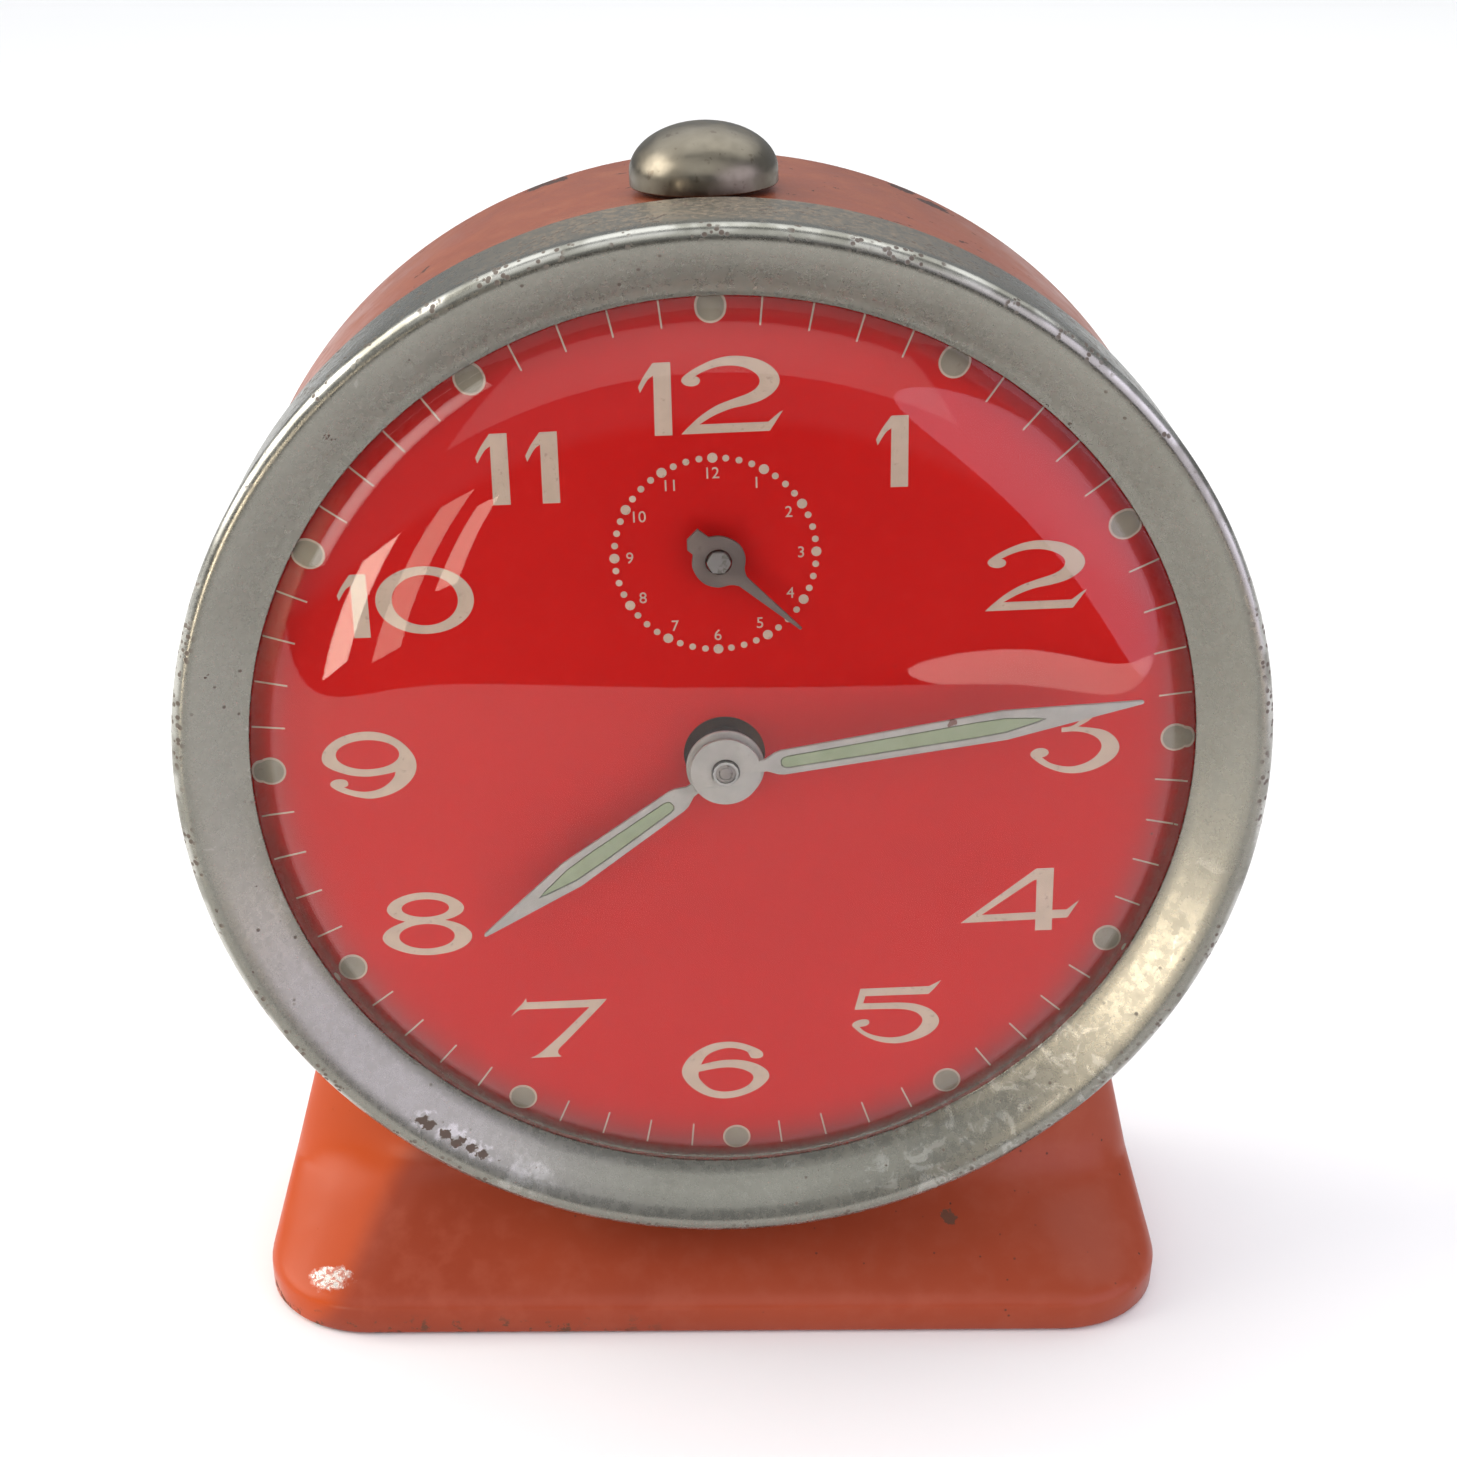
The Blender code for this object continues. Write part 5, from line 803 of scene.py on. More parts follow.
def slotted_screw(name, radius, height, seat, shank, tip, place):
    """A domed screw with a slot, its head above the seat."""
    crown = arc((0.0, seat + height * 0.45), (radius, height * 0.55), 0.0, QUARTER, 8)
    outline = [(0.0, tip), (shank, tip), (shank, seat), (radius, seat), *crown[:-1], (0.0, seat + height)]
    screw = lathe(name, outline, place, SMALL)
    half = radius * 0.13
    slot = [(-radius, -half), (radius, -half), (radius, half), (-radius, half)]
    cut(screw, flat("slot", [turned_loop(slot, 0.6)], seat + height * 0.5, height, place))
    return tidy(screw)


BUTTON_RADIUS = 6.85
BUTTON_HEIGHT = 4.37
BUTTON_SHEET = 0.6


def make_button():
    """The domed stop button, its stem and the bush that it slides in."""
    rim = DRUM_RADIUS + 0.3
    shoulder = rim + 1.2
    bore, ceiling = BUTTON_RADIUS - BUTTON_SHEET, 3.8
    outside = arc((0.0, shoulder), (BUTTON_RADIUS, BUTTON_HEIGHT), 0.0, QUARTER, 24)
    inside = arc((0.0, shoulder), (bore, ceiling), 0.0, QUARTER, 12)
    outline = [(0.0, shoulder + ceiling), *inside[-2::-1], (bore, rim + 0.1), (bore + 0.1, rim)]
    outline += [(BUTTON_RADIUS - 0.1, rim), (BUTTON_RADIUS, rim + 0.12), *outside[:-1]]
    outline.append((0.0, shoulder + BUTTON_HEIGHT))
    part(lathe("button_dome", outline, on_top), WARM_NICKEL, "bright_nickel", "button", "stop_button")
    crown = shoulder + 3.5
    stem = [(0.0, crown), (1.5, crown), (1.5, crown - 12.5), (2.8, crown - 12.5), (2.8, crown - 13.5)]
    stem.append((0.0, crown - 13.5))
    part(lathe("button_pin", stem, on_top, SMALL), STEEL, "steel", "button", "button_stem")
    bush = [(1.8, rim + 0.8), (3.7, rim + 0.8), (4.0, rim + 0.5), (4.0, rim), (2.8, rim), (2.8, rim - 3.4)]
    bush.append((1.8, rim - 3.4))
    part(lathe("button_guide", bush, on_top, SMALL), STEEL, "steel", "case", "button_bush")


# Outlines of the printed digits, from each digit's own middle
ONE = [
    (-0.05, 3.23, 1), (1.5, 3.25, 1), (1.45, -3.4, 1), (-0.12, -3.4, 1), (-0.05, 2.1, 1), (-0.55, 1.72),
    (-1.28, 0.56, 1), (-1.42, 1.1, 1), (-0.9, 2.05),
]
TWO = [
    (-4.45, -3.35, 1), (3.42, -3.3, 1), (4.62, -1.48, 1), (4.3, -1.65), (3.3, -2.47, 1), (-2.85, -2.5, 1),
    (-1.5, -1.72), (0.0, -1.15), (1.5, -0.85), (2.9, -0.4), (4.0, 0.4), (4.38, 1.25), (4.1, 2.1),
    (3.2, 2.9), (1.9, 3.42), (0.3, 3.62), (-1.2, 3.4), (-2.8, 2.75), (-4.0, 2.0), (-4.3, 1.55),
    (-4.0, 1.15), (-3.4, 1.0), (-2.85, 1.15), (-2.65, 1.5), (-2.8, 1.78), (-3.1, 1.9, 1), (-2.2, 2.35),
    (-1.0, 2.7), (0.3, 2.75), (1.4, 2.5), (2.3, 1.95), (2.62, 1.35), (2.4, 0.75), (1.6, 0.2), (0.3, -0.25),
    (-1.2, -0.8), (-2.6, -1.65), (-3.8, -2.68),
]
THREE = [
    (-1.25, 1.42, 1), (0.0, 1.46), (1.2, 1.22), (2.2, 0.65), (2.6, -0.1), (2.4, -0.8), (1.6, -1.6),
    (0.4, -2.1), (-0.8, -2.15), (-2.2, -1.75), (-3.05, -1.12, 1), (-2.6, -0.95), (-2.4, -0.6),
    (-2.7, -0.25), (-3.2, -0.15), (-3.8, -0.3), (-4.15, -0.8), (-3.6, -1.45), (-2.6, -2.15), (-1.2, -2.72),
    (0.2, -2.9), (1.7, -2.65), (3.0, -2.05), (4.0, -1.2), (4.3, -0.25), (3.8, 0.75), (2.7, 1.5),
    (0.3, 1.95, 1), (1.2, 2.45), (1.75, 3.0), (1.7, 3.5), (1.0, 3.85), (0.0, 4.0), (-1.3, 3.85),
    (-2.9, 3.3), (-3.6, 2.75), (-3.5, 2.4), (-3.0, 2.25), (-2.5, 2.4), (-2.4, 2.7), (-2.65, 2.92, 1),
    (-1.5, 3.2), (-0.4, 3.35), (0.3, 3.2), (0.55, 2.85), (0.3, 2.4), (-0.4, 2.0), (-1.25, 1.88, 1),
]
FOUR = [
    (1.5, 3.42, 1), (3.2, 3.42, 1), (3.15, -1.17, 1), (4.55, -1.2, 1), (5.75, -0.22, 1), (4.65, -2.07, 1),
    (3.15, -2.1, 1), (3.15, -3.37, 1), (1.5, -3.37, 1), (1.52, -2.15, 1), (-5.8, -2.25, 1),
]
FOUR_HOLE = [
    (1.54, 2.25, 1), (1.1, 2.05), (-3.78, -1.44, 1), (1.54, -1.35, 1),
]
FIVE = [
    (-3.6, 3.0, 1), (3.2, 3.0, 1), (4.38, 3.62, 1), (3.9, 2.95), (3.15, 2.12, 1), (-3.1, 2.15, 1),
    (-3.35, 1.33, 1), (-1.5, 1.3), (0.5, 1.25), (2.0, 1.0), (3.3, 0.4), (4.05, -0.4), (4.22, -1.1),
    (3.8, -1.95), (2.8, -2.7), (1.3, -3.22), (-0.2, -3.4), (-1.8, -3.1), (-3.2, -2.4), (-4.2, -1.5),
    (-4.45, -1.1), (-4.1, -0.7), (-3.4, -0.5), (-2.85, -0.6), (-2.75, -0.95), (-3.1, -1.25),
    (-3.75, -1.35, 1), (-3.2, -1.9), (-2.2, -2.4), (-0.8, -2.7), (0.5, -2.6), (1.7, -2.1), (2.4, -1.35),
    (2.55, -0.7), (2.1, -0.05), (1.3, 0.35), (0.2, 0.55), (-1.5, 0.62), (-4.2, 0.65, 1),
]
SIX = [
    (3.8, 1.65), (3.55, 2.12), (2.6, 2.7), (1.4, 3.15), (0.1, 3.3), (-1.3, 3.1), (-2.8, 2.35), (-3.9, 1.3),
    (-4.4, 0.1), (-4.1, -1.0), (-3.2, -2.1), (-1.8, -2.97), (-0.2, -3.3), (1.4, -3.08), (3.0, -2.4),
    (4.0, -1.55), (4.35, -0.8), (4.0, -0.05), (3.0, 0.65), (1.6, 1.1), (0.1, 1.2), (-1.2, 1.05),
    (-2.5, 0.75, 1), (-1.9, 1.75), (-1.0, 2.3), (0.3, 2.6), (1.5, 2.4), (2.2, 2.05), (2.4, 1.7),
    (2.55, 1.38), (3.1, 1.25), (3.6, 1.35),
]
SIX_HOLE = [
    (-2.72, -0.06, 1), (-1.7, 0.15), (-0.4, 0.33), (0.7, 0.3), (1.9, -0.05), (2.7, -0.7), (2.6, -1.4),
    (1.8, -2.1), (0.7, -2.45), (-0.5, -2.48), (-1.6, -2.1), (-2.4, -1.3), (-2.75, -0.6),
]
SEVEN = [
    (-3.15, 3.48, 1), (-3.12, 3.0, 1), (4.78, 3.04, 1), (4.2, 2.35, 1), (0.35, -1.82), (-0.2, -2.4),
    (-0.36, -2.9), (-0.05, -3.35, 1), (-3.1, -3.37, 1), (-2.5, -3.1), (-1.9, -2.65), (0.0, -0.9),
    (3.05, 2.2, 1), (-3.75, 2.22, 1), (-4.15, 2.0), (-4.75, 1.5, 1), (-4.2, 2.2), (-3.5, 2.95),
]
EIGHT = [
    (0.0, 3.5), (1.6, 3.3), (3.0, 2.7), (3.75, 1.9), (3.6, 1.25), (2.8, 0.72), (1.85, 0.42, 1), (2.9, 0.08),
    (3.85, -0.5), (4.35, -1.35), (3.9, -2.25), (2.7, -2.95), (1.3, -3.28), (0.0, -3.38), (-1.5, -3.22),
    (-3.0, -2.72), (-4.05, -2.0), (-4.35, -1.3), (-3.9, -0.55), (-3.0, 0.0), (-2.0, 0.4, 1), (-3.0, 0.8),
    (-3.62, 1.45), (-3.58, 2.05), (-2.9, 2.75), (-1.5, 3.32),
]
NINE = [
    (-4.45, 0.85), (-4.1, 1.8), (-3.0, 2.75), (-1.6, 3.3), (-0.1, 3.5), (1.5, 3.25), (2.9, 2.5), (3.9, 1.4),
    (4.35, 0.3), (4.2, -0.9), (3.4, -2.0), (2.3, -2.77), (1.0, -3.25), (-0.2, -3.42), (-1.5, -3.2),
    (-2.8, -2.72), (-3.7, -2.15), (-3.9, -1.75), (-3.6, -1.42), (-3.0, -1.3), (-2.4, -1.42), (-2.2, -1.75),
    (-2.3, -2.02), (-2.65, -2.15, 1), (-1.9, -2.48), (-0.6, -2.7), (0.7, -2.45), (1.6, -1.9), (2.2, -1.2),
    (2.35, -0.72, 1), (1.6, -0.9), (0.6, -1.05), (-0.3, -1.12), (-1.8, -0.95), (-3.3, -0.4), (-4.2, 0.2),
]
DIGITS = {
    "0": [ellipse((-0.08, -0.05), (4.5, 3.29)), ellipse((-0.06, -0.04), (3.02, 2.47))],
    "1": [smooth_loop(ONE)],
    "2": [smooth_loop(TWO)],
    "3": [smooth_loop(THREE)],
    "4": [smooth_loop(FOUR), smooth_loop(FOUR_HOLE)],
    "5": [smooth_loop(FIVE)],
    "6": [smooth_loop(SIX), smooth_loop(SIX_HOLE)],
    "7": [smooth_loop(SEVEN)],
    "8": [smooth_loop(EIGHT), ellipse((0.05, 1.79), (2.3, 0.97)), ellipse((-0.03, -1.3), (2.7, 1.36))],
    "9": [smooth_loop(NINE), ellipse((-0.13, 1.13), (2.98, 1.51))],
}
# Digit, its place on the dial, and its scale across and up where it isn't 1
FIGURES = (
    ("1", -5.18, 34.71), ("2", 1.53, 34.71), ("1", -19.96, 28.79), ("1", -15.5, 28.79),
    ("1", -33.55, 16.25, 0.95, 0.93), ("0", -26.88, 16.59), ("9", -33.41, 0.18), ("8", -29.47, -16.94),
    ("7", -17.18, -29.06), ("6", -0.88, -34.76), ("5", 16.29, -29.0), ("4", 28.35, -16.82),
    ("3", 33.12, -0.47), ("2", 29.04, 16.68, 1.03, 0.965), ("1", 15.85, 29.15),
)
PRINT = 0.03
DOT_FILL_SHEET = 0.06
DOT_CIRCLE = 42.7
DOT_RADIUS = 1.40
DOT_FILL_RADIUS = 1.20
STROKE_START = 41.2
STROKE_END = 43.85
STROKE_WIDTH = 0.16
ALARM_DOT_CIRCLE = 9.2
ALARM_DOT = 0.31
ALARM_HOUR_DOT = 0.46
ALARM_FIGURE_CIRCLE = 7.8
ALARM_FIGURE_SIZE = 1.5


def clockwise(share):
    """The bearing of a share of a turn past twelve o'clock."""
    return QUARTER - TURN * share


def printed(name, loops):
    return flat(name, loops, DIAL_FRONT - PRINT, PRINT)


def small_figure(words, centre):
    """A small printed figure, centred on a place of the dial."""
    curve = bpy.data.curves.new("figure", "FONT")
    curve.body = words
    curve.size = ALARM_FIGURE_SIZE
    curve.extrude = PRINT / 2
    mesh = mesh_of(curve)
    spans = [[vertex.co[axis] for vertex in mesh.vertices] for axis in (0, 1)]
    middle = [(min(span) + max(span)) / 2 for span in spans]
    for vertex in mesh.vertices:
        x, y, up = vertex.co
        vertex.co = on_head(x - middle[0] + centre[0], y - middle[1] + centre[1], DIAL_FRONT - PRINT / 2 - up)
    return place_mesh("alarm_figure", mesh)


def make_dial():
    """The red dial plate, and its print as thin raised ink."""
    loops = [circle(DIAL_RADIUS, count=ROUND), circle(DIAL_HOLE), circle(ALARM_HOLE, ALARM_AXIS)]
    part(flat("dial_plate", loops, DIAL_FRONT, DIAL_SHEET), DIAL_RED, "red_print", "case", "dial")
    figures = []
    for digit, x, z, *scale in FIGURES:
        wide, tall = scale or (1.0, 1.0)
        loops = [[(x + u * wide, z + v * tall) for u, v in loop] for loop in DIGITS[digit]]
        figures.append(printed("figure", loops))
    part(joined("dial_figures", figures), CREAM, "hand_white", "case")
    half = STROKE_WIDTH / 2
    stroke = [(STROKE_START, -half), (STROKE_END, -half), (STROKE_END, half), (STROKE_START, half)]
    loops = [turned_loop(stroke, clockwise(minute / 60)) for minute in range(60) if minute % 5]
    hours = [polar(DOT_CIRCLE, clockwise(hour / 12)) for hour in range(12)]
    for centre in hours:
        loops += [circle(DOT_RADIUS, centre), circle(DOT_FILL_RADIUS, centre)]
    for quarter in range(48):
        centre = polar(ALARM_DOT_CIRCLE, clockwise(quarter / 48), SUBDIAL)
        loops.append(circle(ALARM_DOT if quarter % 4 else ALARM_HOUR_DOT, centre, 20))
    part(printed("dial_marks", loops), CREAM, "hand_white", "case")
    loops = [circle(DOT_FILL_RADIUS, centre) for centre in hours]
    fills = flat("dial_dots", loops, DIAL_FRONT - DOT_FILL_SHEET, DOT_FILL_SHEET)
    part(fills, DOT_FILL, "hand_white", "case")
    places = [(hour, polar(ALARM_FIGURE_CIRCLE, clockwise(hour / 12), SUBDIAL)) for hour in range(1, 13)]
    figures = [small_figure(str(hour), centre) for hour, centre in places]
    part(joined("alarm_figures", figures), CREAM, "hand_white", "case")


def make_hand(name, length, widest, hub_radius, bore, front, angle, inlay_start):
    """A pressed hand: hub, slim neck, a blade that is widest beyond its middle, and a luminous inlay."""
    body = f"{name}_drive"
    bearing = QUARTER - angle
    stations = [(hub_radius + 0.5, 1.2), (hub_radius + 1.5, 2.2), (hub_radius + 2.1, 2.45), (widest, 2.95)]
    stations += [(length - 0.15, 0.34), (length, 0.12)]
    lower = [(x, -width / 2) for x, width in stations]
    upper = [(x, width / 2) for x, width in reversed(stations)]
    neck = math.asin(HAND_NECK / 2 / hub_radius)
    hub = arc((0.0, 0.0), (hub_radius, hub_radius), neck, TURN - neck, ROUND)
    end = length * INLAY_END
    slot = [(inlay_start, 0.28), (inlay_start + 0.25, 0.52), (inlay_start + 0.7, 0.62), (widest - 3.0, 0.80)]
    slot += [(widest, 0.74), (end - 0.9, 0.24), (end, 0.0)]

    def trough(inset):
        rows = [(x, max(half - inset, 0.0)) for x, half in slot]
        rows[0] = (rows[0][0] + inset, rows[0][1])
        rows[-1] = (rows[-1][0] - 3 * inset, 0.0)
        loop = [(x, -half) for x, half in rows] + [(x, half) for x, half in rows[-2::-1]]
        return turned_loop(loop, bearing)

    loops = [turned_loop(lower + upper + hub, bearing), circle(bore), trough(0.0)]
    blade = flat(f"{name}_blade", loops, front, HAND_SHEET, bevel=0.06)
    part(blade, HAND_PAINT, "hand_white", body, f"{name}_hand")
    part(flat(f"{name}_bed", [trough(-0.02)], front + 0.20, 0.1), LUME_BED, "hand_white", body)
    part(flat(f"{name}_inlay", [trough(0.10)], front + 0.07, 0.13), LUME, "hand_white", body)


def make_hands():
    """Minute and hour hands, the alarm hand, and the round ends of their arbors."""
    make_hand("minute", MINUTE_LENGTH, MINUTE_WIDEST, MINUTE_HUB, 1.3, MINUTE_DEPTH, MINUTE_ANGLE, 5.2)
    make_hand("hour", HOUR_LENGTH, HOUR_WIDEST, HOUR_HUB, 2.73, HOUR_DEPTH, HOUR_ANGLE, 6.2)
    loop = [(9.98, -0.12, 1), (10.0, 0.12, 1), (2.9, 0.55, 1), (2.3, 0.95), (1.5, 1.95), (0.2, 2.45)]
    loop += [(-1.4, 2.0), (-2.25, 1.15, 1), (-3.5, 1.1, 1), (-3.55, -0.3, 1), (-2.9, -1.0, 1)]
    loop += [(-2.25, -1.0, 1), (-1.4, -2.0), (0.2, -2.45), (1.5, -1.95), (2.3, -0.95), (2.9, -0.55, 1)]
    loops = [turned_loop(smooth_loop(loop), QUARTER - ALARM_ANGLE), circle(1.19)]
    alarm = flat("alarm_pointer", loops, ALARM_DEPTH, HAND_SHEET, around(ALARM_AXIS), 0.05)
    part(alarm, ALARM_GREY, "dark_bronze", "alarm_setting", "alarm_hand")
    rivet = [(0.0, 2.76), (0.55, 2.78), (0.62, 2.88), (0.8, 2.88), (1.02, 2.96), (1.1, 3.1), (1.1, 3.6)]
    rivet.append((0.0, 3.6))
    part(lathe("alarm_rivet", rivet, around(ALARM_AXIS), SMALL), DULL_STEEL, "steel", "alarm_setting")
    pin = [(0.0, 0.50), (0.55, 0.52), (0.66, 0.62), (0.86, 0.62), (1.12, 0.70), (1.22, 0.86), (1.22, 1.3)]
    pin.append((0.0, 1.3))
    part(lathe("hands_pin", pin, steps=SMALL), DULL_STEEL, "steel", "minute_drive")


COVER_RADIUS = DRUM_RADIUS - DRUM_SHEET - 2.3
COVER_RIM = 41.8
COVER_PAN = 40.3
COVER_SHEET = 0.6
COVER_RECESS = 1.0
KNOB_HOLE = 2.2
SCREW_HOLE = 1.1
REGULATOR_LENGTH = 10.0
REGULATOR_BEARING = math.radians(60)
REGULATOR_SWING = math.radians(16)
REGULATOR_SLOT = 1.4
KEY_HUB = 2.8
KEY_SHEET = 1.2
KNOB_RADIUS = 4.7
KNOB_FLUTES = 36
KNOB_STEPS = 4 * KNOB_FLUTES


def make_back_cover():
    """The dished cover with its holes, and four slotted screws."""
    rear = DRUM_BACK
    pan_back = rear - COVER_RECESS
    pan_front = pan_back - COVER_SHEET
    outline = [(0.0, pan_back), (COVER_PAN - 0.4, pan_back), (COVER_PAN, pan_back + 0.12)]
    outline += [(COVER_RIM - 0.3, rear - 0.12), (COVER_RIM + 0.2, rear), (COVER_RADIUS - 0.2, rear)]
    outline += [(COVER_RADIUS, rear - 0.2), (COVER_RADIUS, rear - COVER_SHEET)]
    outline += [(COVER_RIM, rear - COVER_SHEET), (COVER_PAN, pan_front), (0.0, pan_front)]
    cover = lathe("back_dish", outline, steps=FINE)
    keys = [centre_of("time_winding_key"), centre_of("alarm_winding_key")]
    knobs = [centre_of("time_set_knob"), centre_of("alarm_set_knob")]
    screws = [centre_of(f"cover_screw_{number}") for number in range(1, 5)]
    loops = [circle(KEY_HUB, centre) for centre in keys]
    loops += [circle(KNOB_HOLE, centre) for centre in knobs]
    loops += [circle(SCREW_HOLE, centre) for centre in screws]
    balance = centre_of("balance_wheel")
    swing = REGULATOR_SWING + math.asin(REGULATOR_SLOT / REGULATOR_LENGTH)
    start, end = REGULATOR_BEARING - swing, REGULATOR_BEARING + swing
    slot = arc(balance, (REGULATOR_LENGTH + REGULATOR_SLOT,) * 2, start, end, 16)
    loops.append(slot + arc(balance, (REGULATOR_LENGTH - REGULATOR_SLOT,) * 2, end, start, 16))
    cut(cover, flat("cover_holes", loops, pan_front - 2.0, 6.0))
    part(tidy(cover), DRUM_PAINT, "coral_paint", "case", "back_cover")
    seat, tip = pan_back + 0.3, pan_front - 2.5
    for number, centre in enumerate(screws, start=1):
        node = f"cover_screw_{number}"
        screw = slotted_screw(f"{node}_head", 2.4, 1.2, seat, 0.8, tip, around(centre))
        part(screw, STEEL, "steel", "case", node)


def make_regulator():
    """The lever round the balance's boss, and its tail through the cover."""
    balance = centre_of("balance_wheel")
    front, back = depths_of("regulator_lever")
    tip = polar(REGULATOR_LENGTH, REGULATOR_BEARING, balance)
    half = 0.9
    arm = [(2.0, -half), (REGULATOR_LENGTH + 0.8, -half), (REGULATOR_LENGTH + 0.8, half), (2.0, half)]
    ring = flat("regulator_arm", [circle(2.6), circle(1.42)], front, 0.7, around(balance))
    bar = flat("bar", [turned_loop(arm, REGULATOR_BEARING)], front, 0.7, around(balance))
    cut(ring, bar, "UNION")
    tail = [(0.0, front + 0.35), (0.8, front + 0.35), (0.8, back - 0.35), (0.45, back), (0.0, back)]
    cut(ring, lathe("tail", tail, around(tip), SMALL), "UNION")
    part(tidy(ring), STEEL, "steel", "regulator", "regulator_lever")


def make_keys():
    """The two winding keys: a hub and a pressed pair of wings."""
    half_wing = [(0.0, 0.64), (0.24, 0.72), (0.42, 0.90), (0.66, 1.0), (0.88, 0.86), (1.0, 0.52)]
    half_wing += [(0.94, 0.26), (0.72, 0.09), (0.44, 0.05), (0.26, 0.02), (0.25, -0.10, 1)]
    for side, body in (("time", "time_winding"), ("alarm", "alarm_winding")):
        node = f"{side}_winding_key"
        centre = centre_of(node)
        front, back = depths_of(node)
        span = radius_of(node) * 0.999
        top = front + 5.8
        height = back - top
        hub = [(1.68, front), (KEY_HUB - 0.25, front), (KEY_HUB, front + 0.25), (KEY_HUB, top - 0.4)]
        hub += [(KEY_HUB - 0.4, top), (0.0, top), (0.0, top - 1.1), (1.68, top - 1.1)]
        key = lathe(f"{side}_key", hub, around(centre), SMALL)
        right = [(x * span, top + y * height, *corner) for x, y, *corner in half_wing]
        left = [(-x, y, *corner) for x, y, *corner in reversed(right[1:])]
        wing = flat("wing", [smooth_loop(right + left)], -KEY_SHEET / 2, KEY_SHEET, around(centre, True), 0.3)
        cut(key, wing, "UNION")
        part(tidy(key), BRASS, "brass", body, node)


def make_knobs():
    """The two setting knobs: a fluted disc on a collar."""
    for node, body in (("time_set_knob", "minute_drive"), ("alarm_set_knob", "alarm_setting")):
        centre = centre_of(node)
        front, back = depths_of(node)
        flutes = []
        for step in range(KNOB_STEPS):
            bearing = TURN * step / KNOB_STEPS
            wave = 0.5 - 0.5 * math.cos(bearing * KNOB_FLUTES)
            flutes.append(polar(KNOB_RADIUS - 0.02 - 0.35 * wave, bearing))
        disc = flat(f"{node}_disc", [flutes], front + 1.4, back - front - 1.4, around(centre), 0.25)
        bore = 1.0 if node == "time_set_knob" else 1.2
        collar = [(bore, front), (2.2, front), (2.4, front + 0.2), (2.4, front + 1.6), (bore, front + 1.6)]
        cut(disc, lathe("collar", collar, around(centre), SMALL), "UNION")
        part(tidy(disc), BRASS, "brass", body, node)


# Finishes of the CAD pieces that are shown as they are. The others are steel.
BRASS_NODES = (
    "back_plate", "centre_wheel", "third_wheel", "fourth_wheel", "escape_wheel", "balance_wheel",
    "time_great_wheel", "alarm_great_wheel", "alarm_escape_wheel",
)
AGED_NODES = ("front_plate", "minute_wheel", "hour_wheel", "alarm_wheel")
BLUED_NODES = ("hairspring", "time_mainspring", "alarm_mainspring")


def dress_nodes():
    finishes = {"bell": WARM_NICKEL}
    for names, finish in ((BRASS_NODES, BRASS), (AGED_NODES, AGED_BRASS), (BLUED_NODES, BLUED)):
        finishes.update(dict.fromkeys(names, finish))
    for name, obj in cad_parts.items():
        finish = finishes.get(name, STEEL)
        if not obj.material_slots:
            obj.data.materials.append(finish.material)
        for place in obj.material_slots:
            place.material = finish.material


def make_stage():
    """A pale table in a grey studio that is dark below the table's height."""
    front, back, side = -0.222, 2.4, 1.8
    corners = [(-side, front, 0.0), (side, front, 0.0), (side, back, 0.0), (-side, back, 0.0)]
    floor = add("floor", corners, [[0, 1, 2, 3]])
    pale = Finish("floor_pale", 0.75)
    pale.colour(pale.mix(pale.noise(3, 2), (0.83, 0.83, 0.83), (0.85, 0.85, 0.85)))
    floor.data.materials.append(pale.material)
    world = bpy.data.worlds.new("studio")
    bpy.context.scene.world = world
    world.use_nodes = True
    nodes, links = world.node_tree.nodes, world.node_tree.links
    coords = nodes.new("ShaderNodeTexCoord")
    split = nodes.new("ShaderNodeSeparateXYZ")
    height = nodes.new("ShaderNodeMapRange")
    levels = {"From Min": -0.04, "From Max": 0.04, "To Min": WORLD_LOW, "To Max": WORLD_HIGH}
    for key, number in levels.items():
        height.inputs[key].default_value = number
    links.new(coords.outputs["Generated"], split.inputs[0])
    links.new(split.outputs[2], height.inputs["Value"])
    links.new(height.outputs["Result"], nodes["Background"].inputs["Strength"])
    nodes["Background"].inputs["Color"].default_value = (0.92, 0.95, 1.0, 1.0)
    bpy.context.scene.view_settings.view_transform = "Standard"


WHITE = (1.0, 1.0, 1.0)
WARM = (1.0, 0.86, 0.70)
LILAC = (0.86, 0.79, 1.0)
PINK = (1.0, 0.82, 0.76)
# Each pane's place along x, its width and height, in metres, and its power
WINDOW_PANES = (
    (-0.215, 0.060, 0.095, 0.15),
    (-0.120, 0.026, 0.095, 0.025),
    (-0.086, 0.012, 0.050, 0.008),
)


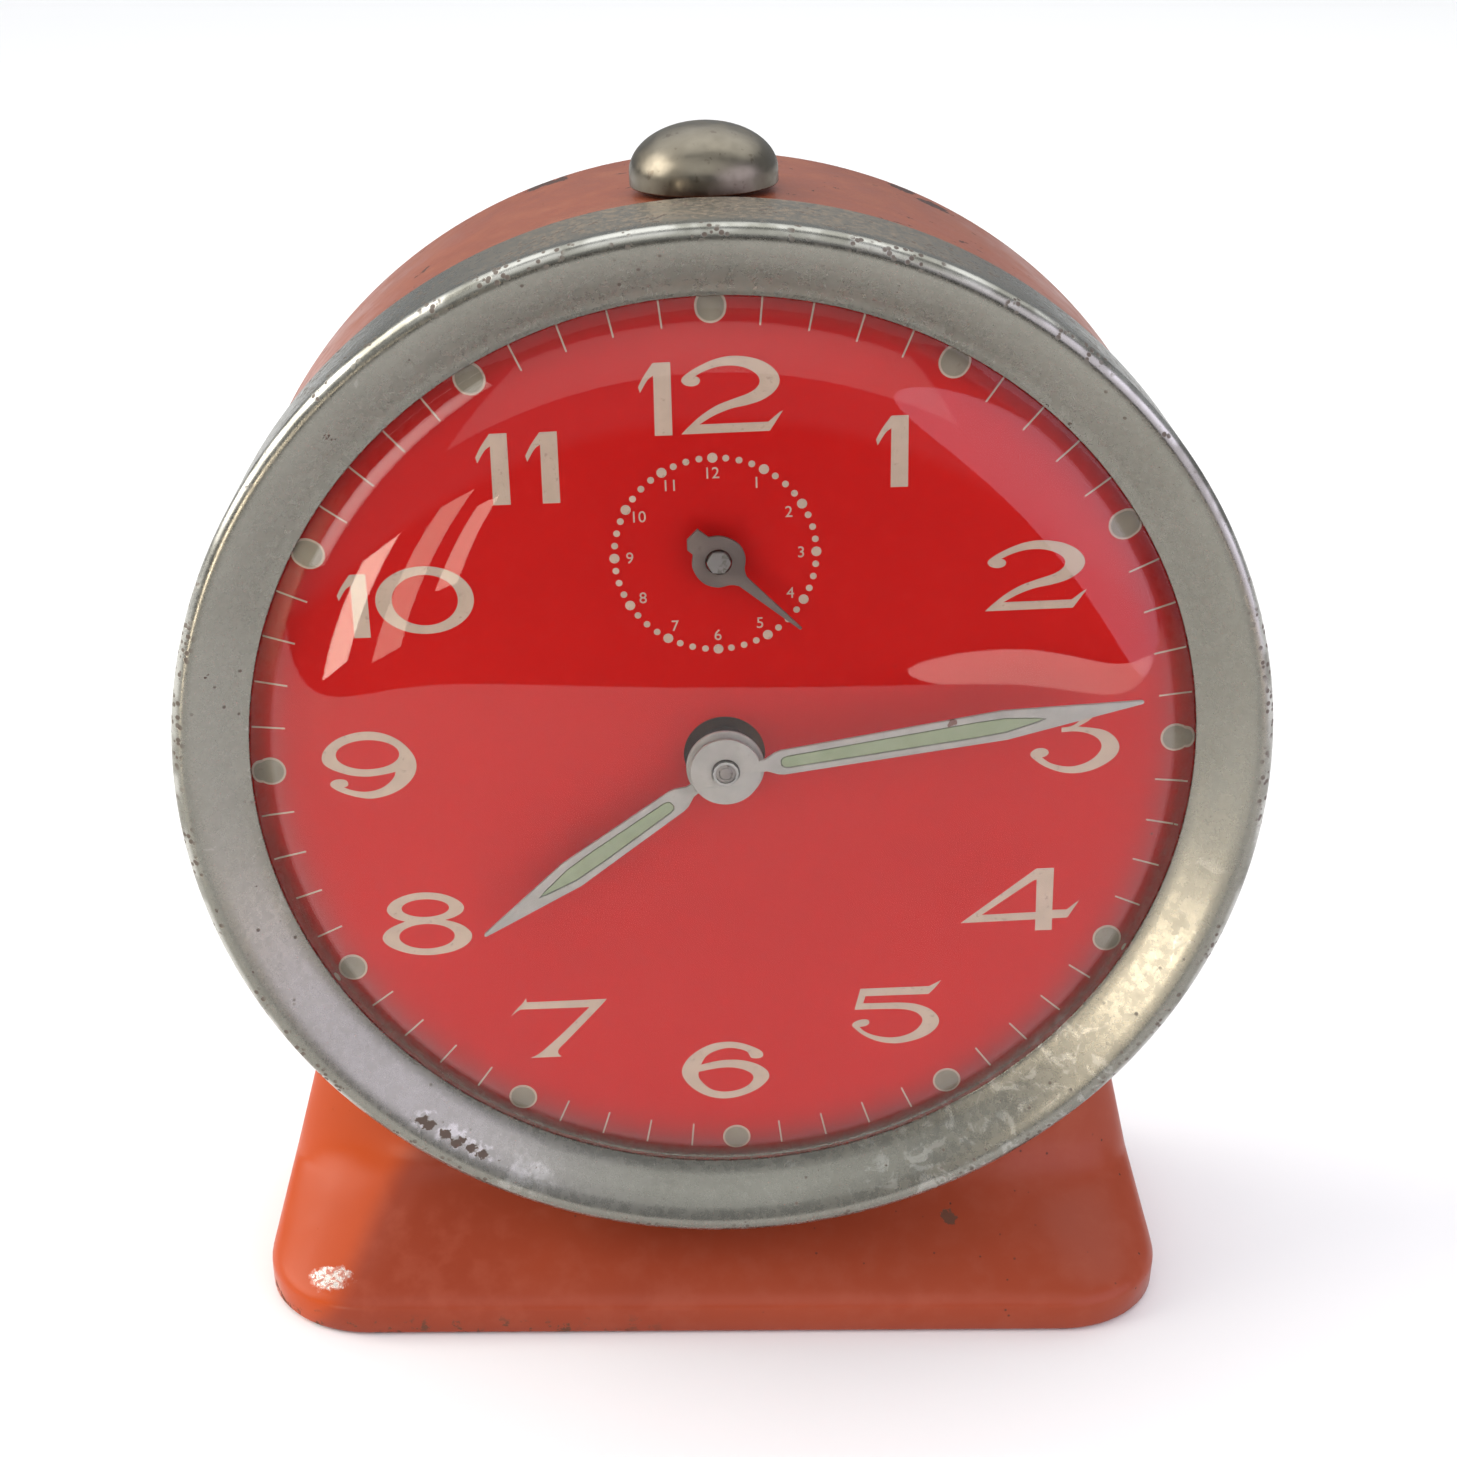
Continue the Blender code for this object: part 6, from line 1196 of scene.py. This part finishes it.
def soft_light(name, place, size, power, spread, colour=WHITE, target=(0.0, 0.0, 0.06), shape="RECTANGLE"):
    """A soft light, aimed at the clock unless told otherwise. Places and sizes are in metres."""
    light = bpy.data.lights.new(name, "AREA")
    light.shape = shape
    light.size, light.size_y = size
    light.energy = power
    light.color = colour
    light.spread = math.radians(spread)
    obj = bpy.data.objects.new(name, light)
    bpy.context.scene.collection.objects.link(obj)
    obj.location = place
    obj.rotation_euler = (Vector(target) - Vector(place)).to_track_quat("-Z", "Y").to_euler()


def make_lights():
    """A key from the left, broad light above and behind, a cool fill, and windows that the glass mirrors."""
    soft_light("key", (-0.82, -0.02, 0.50), (0.80, 0.70), 2.8, 90, (1.0, 0.95, 0.88))
    soft_light("over", (0.0, 0.95, 1.30), (2.8, 2.0), 21.0, 140, target=(0.0, 0.95, 0.0))
    soft_light("front", (-0.05, -0.78, 0.86), (1.50, 0.90), 2.7, 130)
    soft_light("side", (0.50, -0.38, 0.22), (0.80, 0.60), 1.7, 150, LILAC, shape="ELLIPSE")
    for x, width, height, power in WINDOW_PANES:
        soft_light("window", (x, -0.30, 0.036), (width, height), power, 150, WARM)
    ledge = Vector((0.272, -0.240, -0.003))
    soft_light("ledge", ledge, (0.44, 0.028), 0.10, 150, PINK, (ledge.x, 0.0, ledge.z), "ELLIPSE")


def make_camera():
    data = bpy.data.cameras.new("camera")
    data.sensor_width = SENSOR
    data.lens = CAMERA_FOCAL * SENSOR
    data.clip_start = 0.01
    camera = bpy.data.objects.new("camera", data)
    bpy.context.scene.collection.objects.link(camera)
    turn = Matrix.Rotation(-CAMERA_YAW, 4, "Z") @ Matrix.Rotation(QUARTER - CAMERA_PITCH, 4, "X")
    camera.matrix_world = Matrix.Translation(CAMERA_PLACE) @ turn @ Matrix.Rotation(CAMERA_ROLL, 4, "Z")
    bpy.context.scene.camera = camera


dress_nodes()
make_bezel()
make_crystal()
make_drum()
make_foot()
make_button()
make_dial()
make_hands()
make_back_cover()
make_regulator()
make_keys()
make_knobs()
make_stage()
make_lights()
make_camera()

bpy.context.view_layer.update()
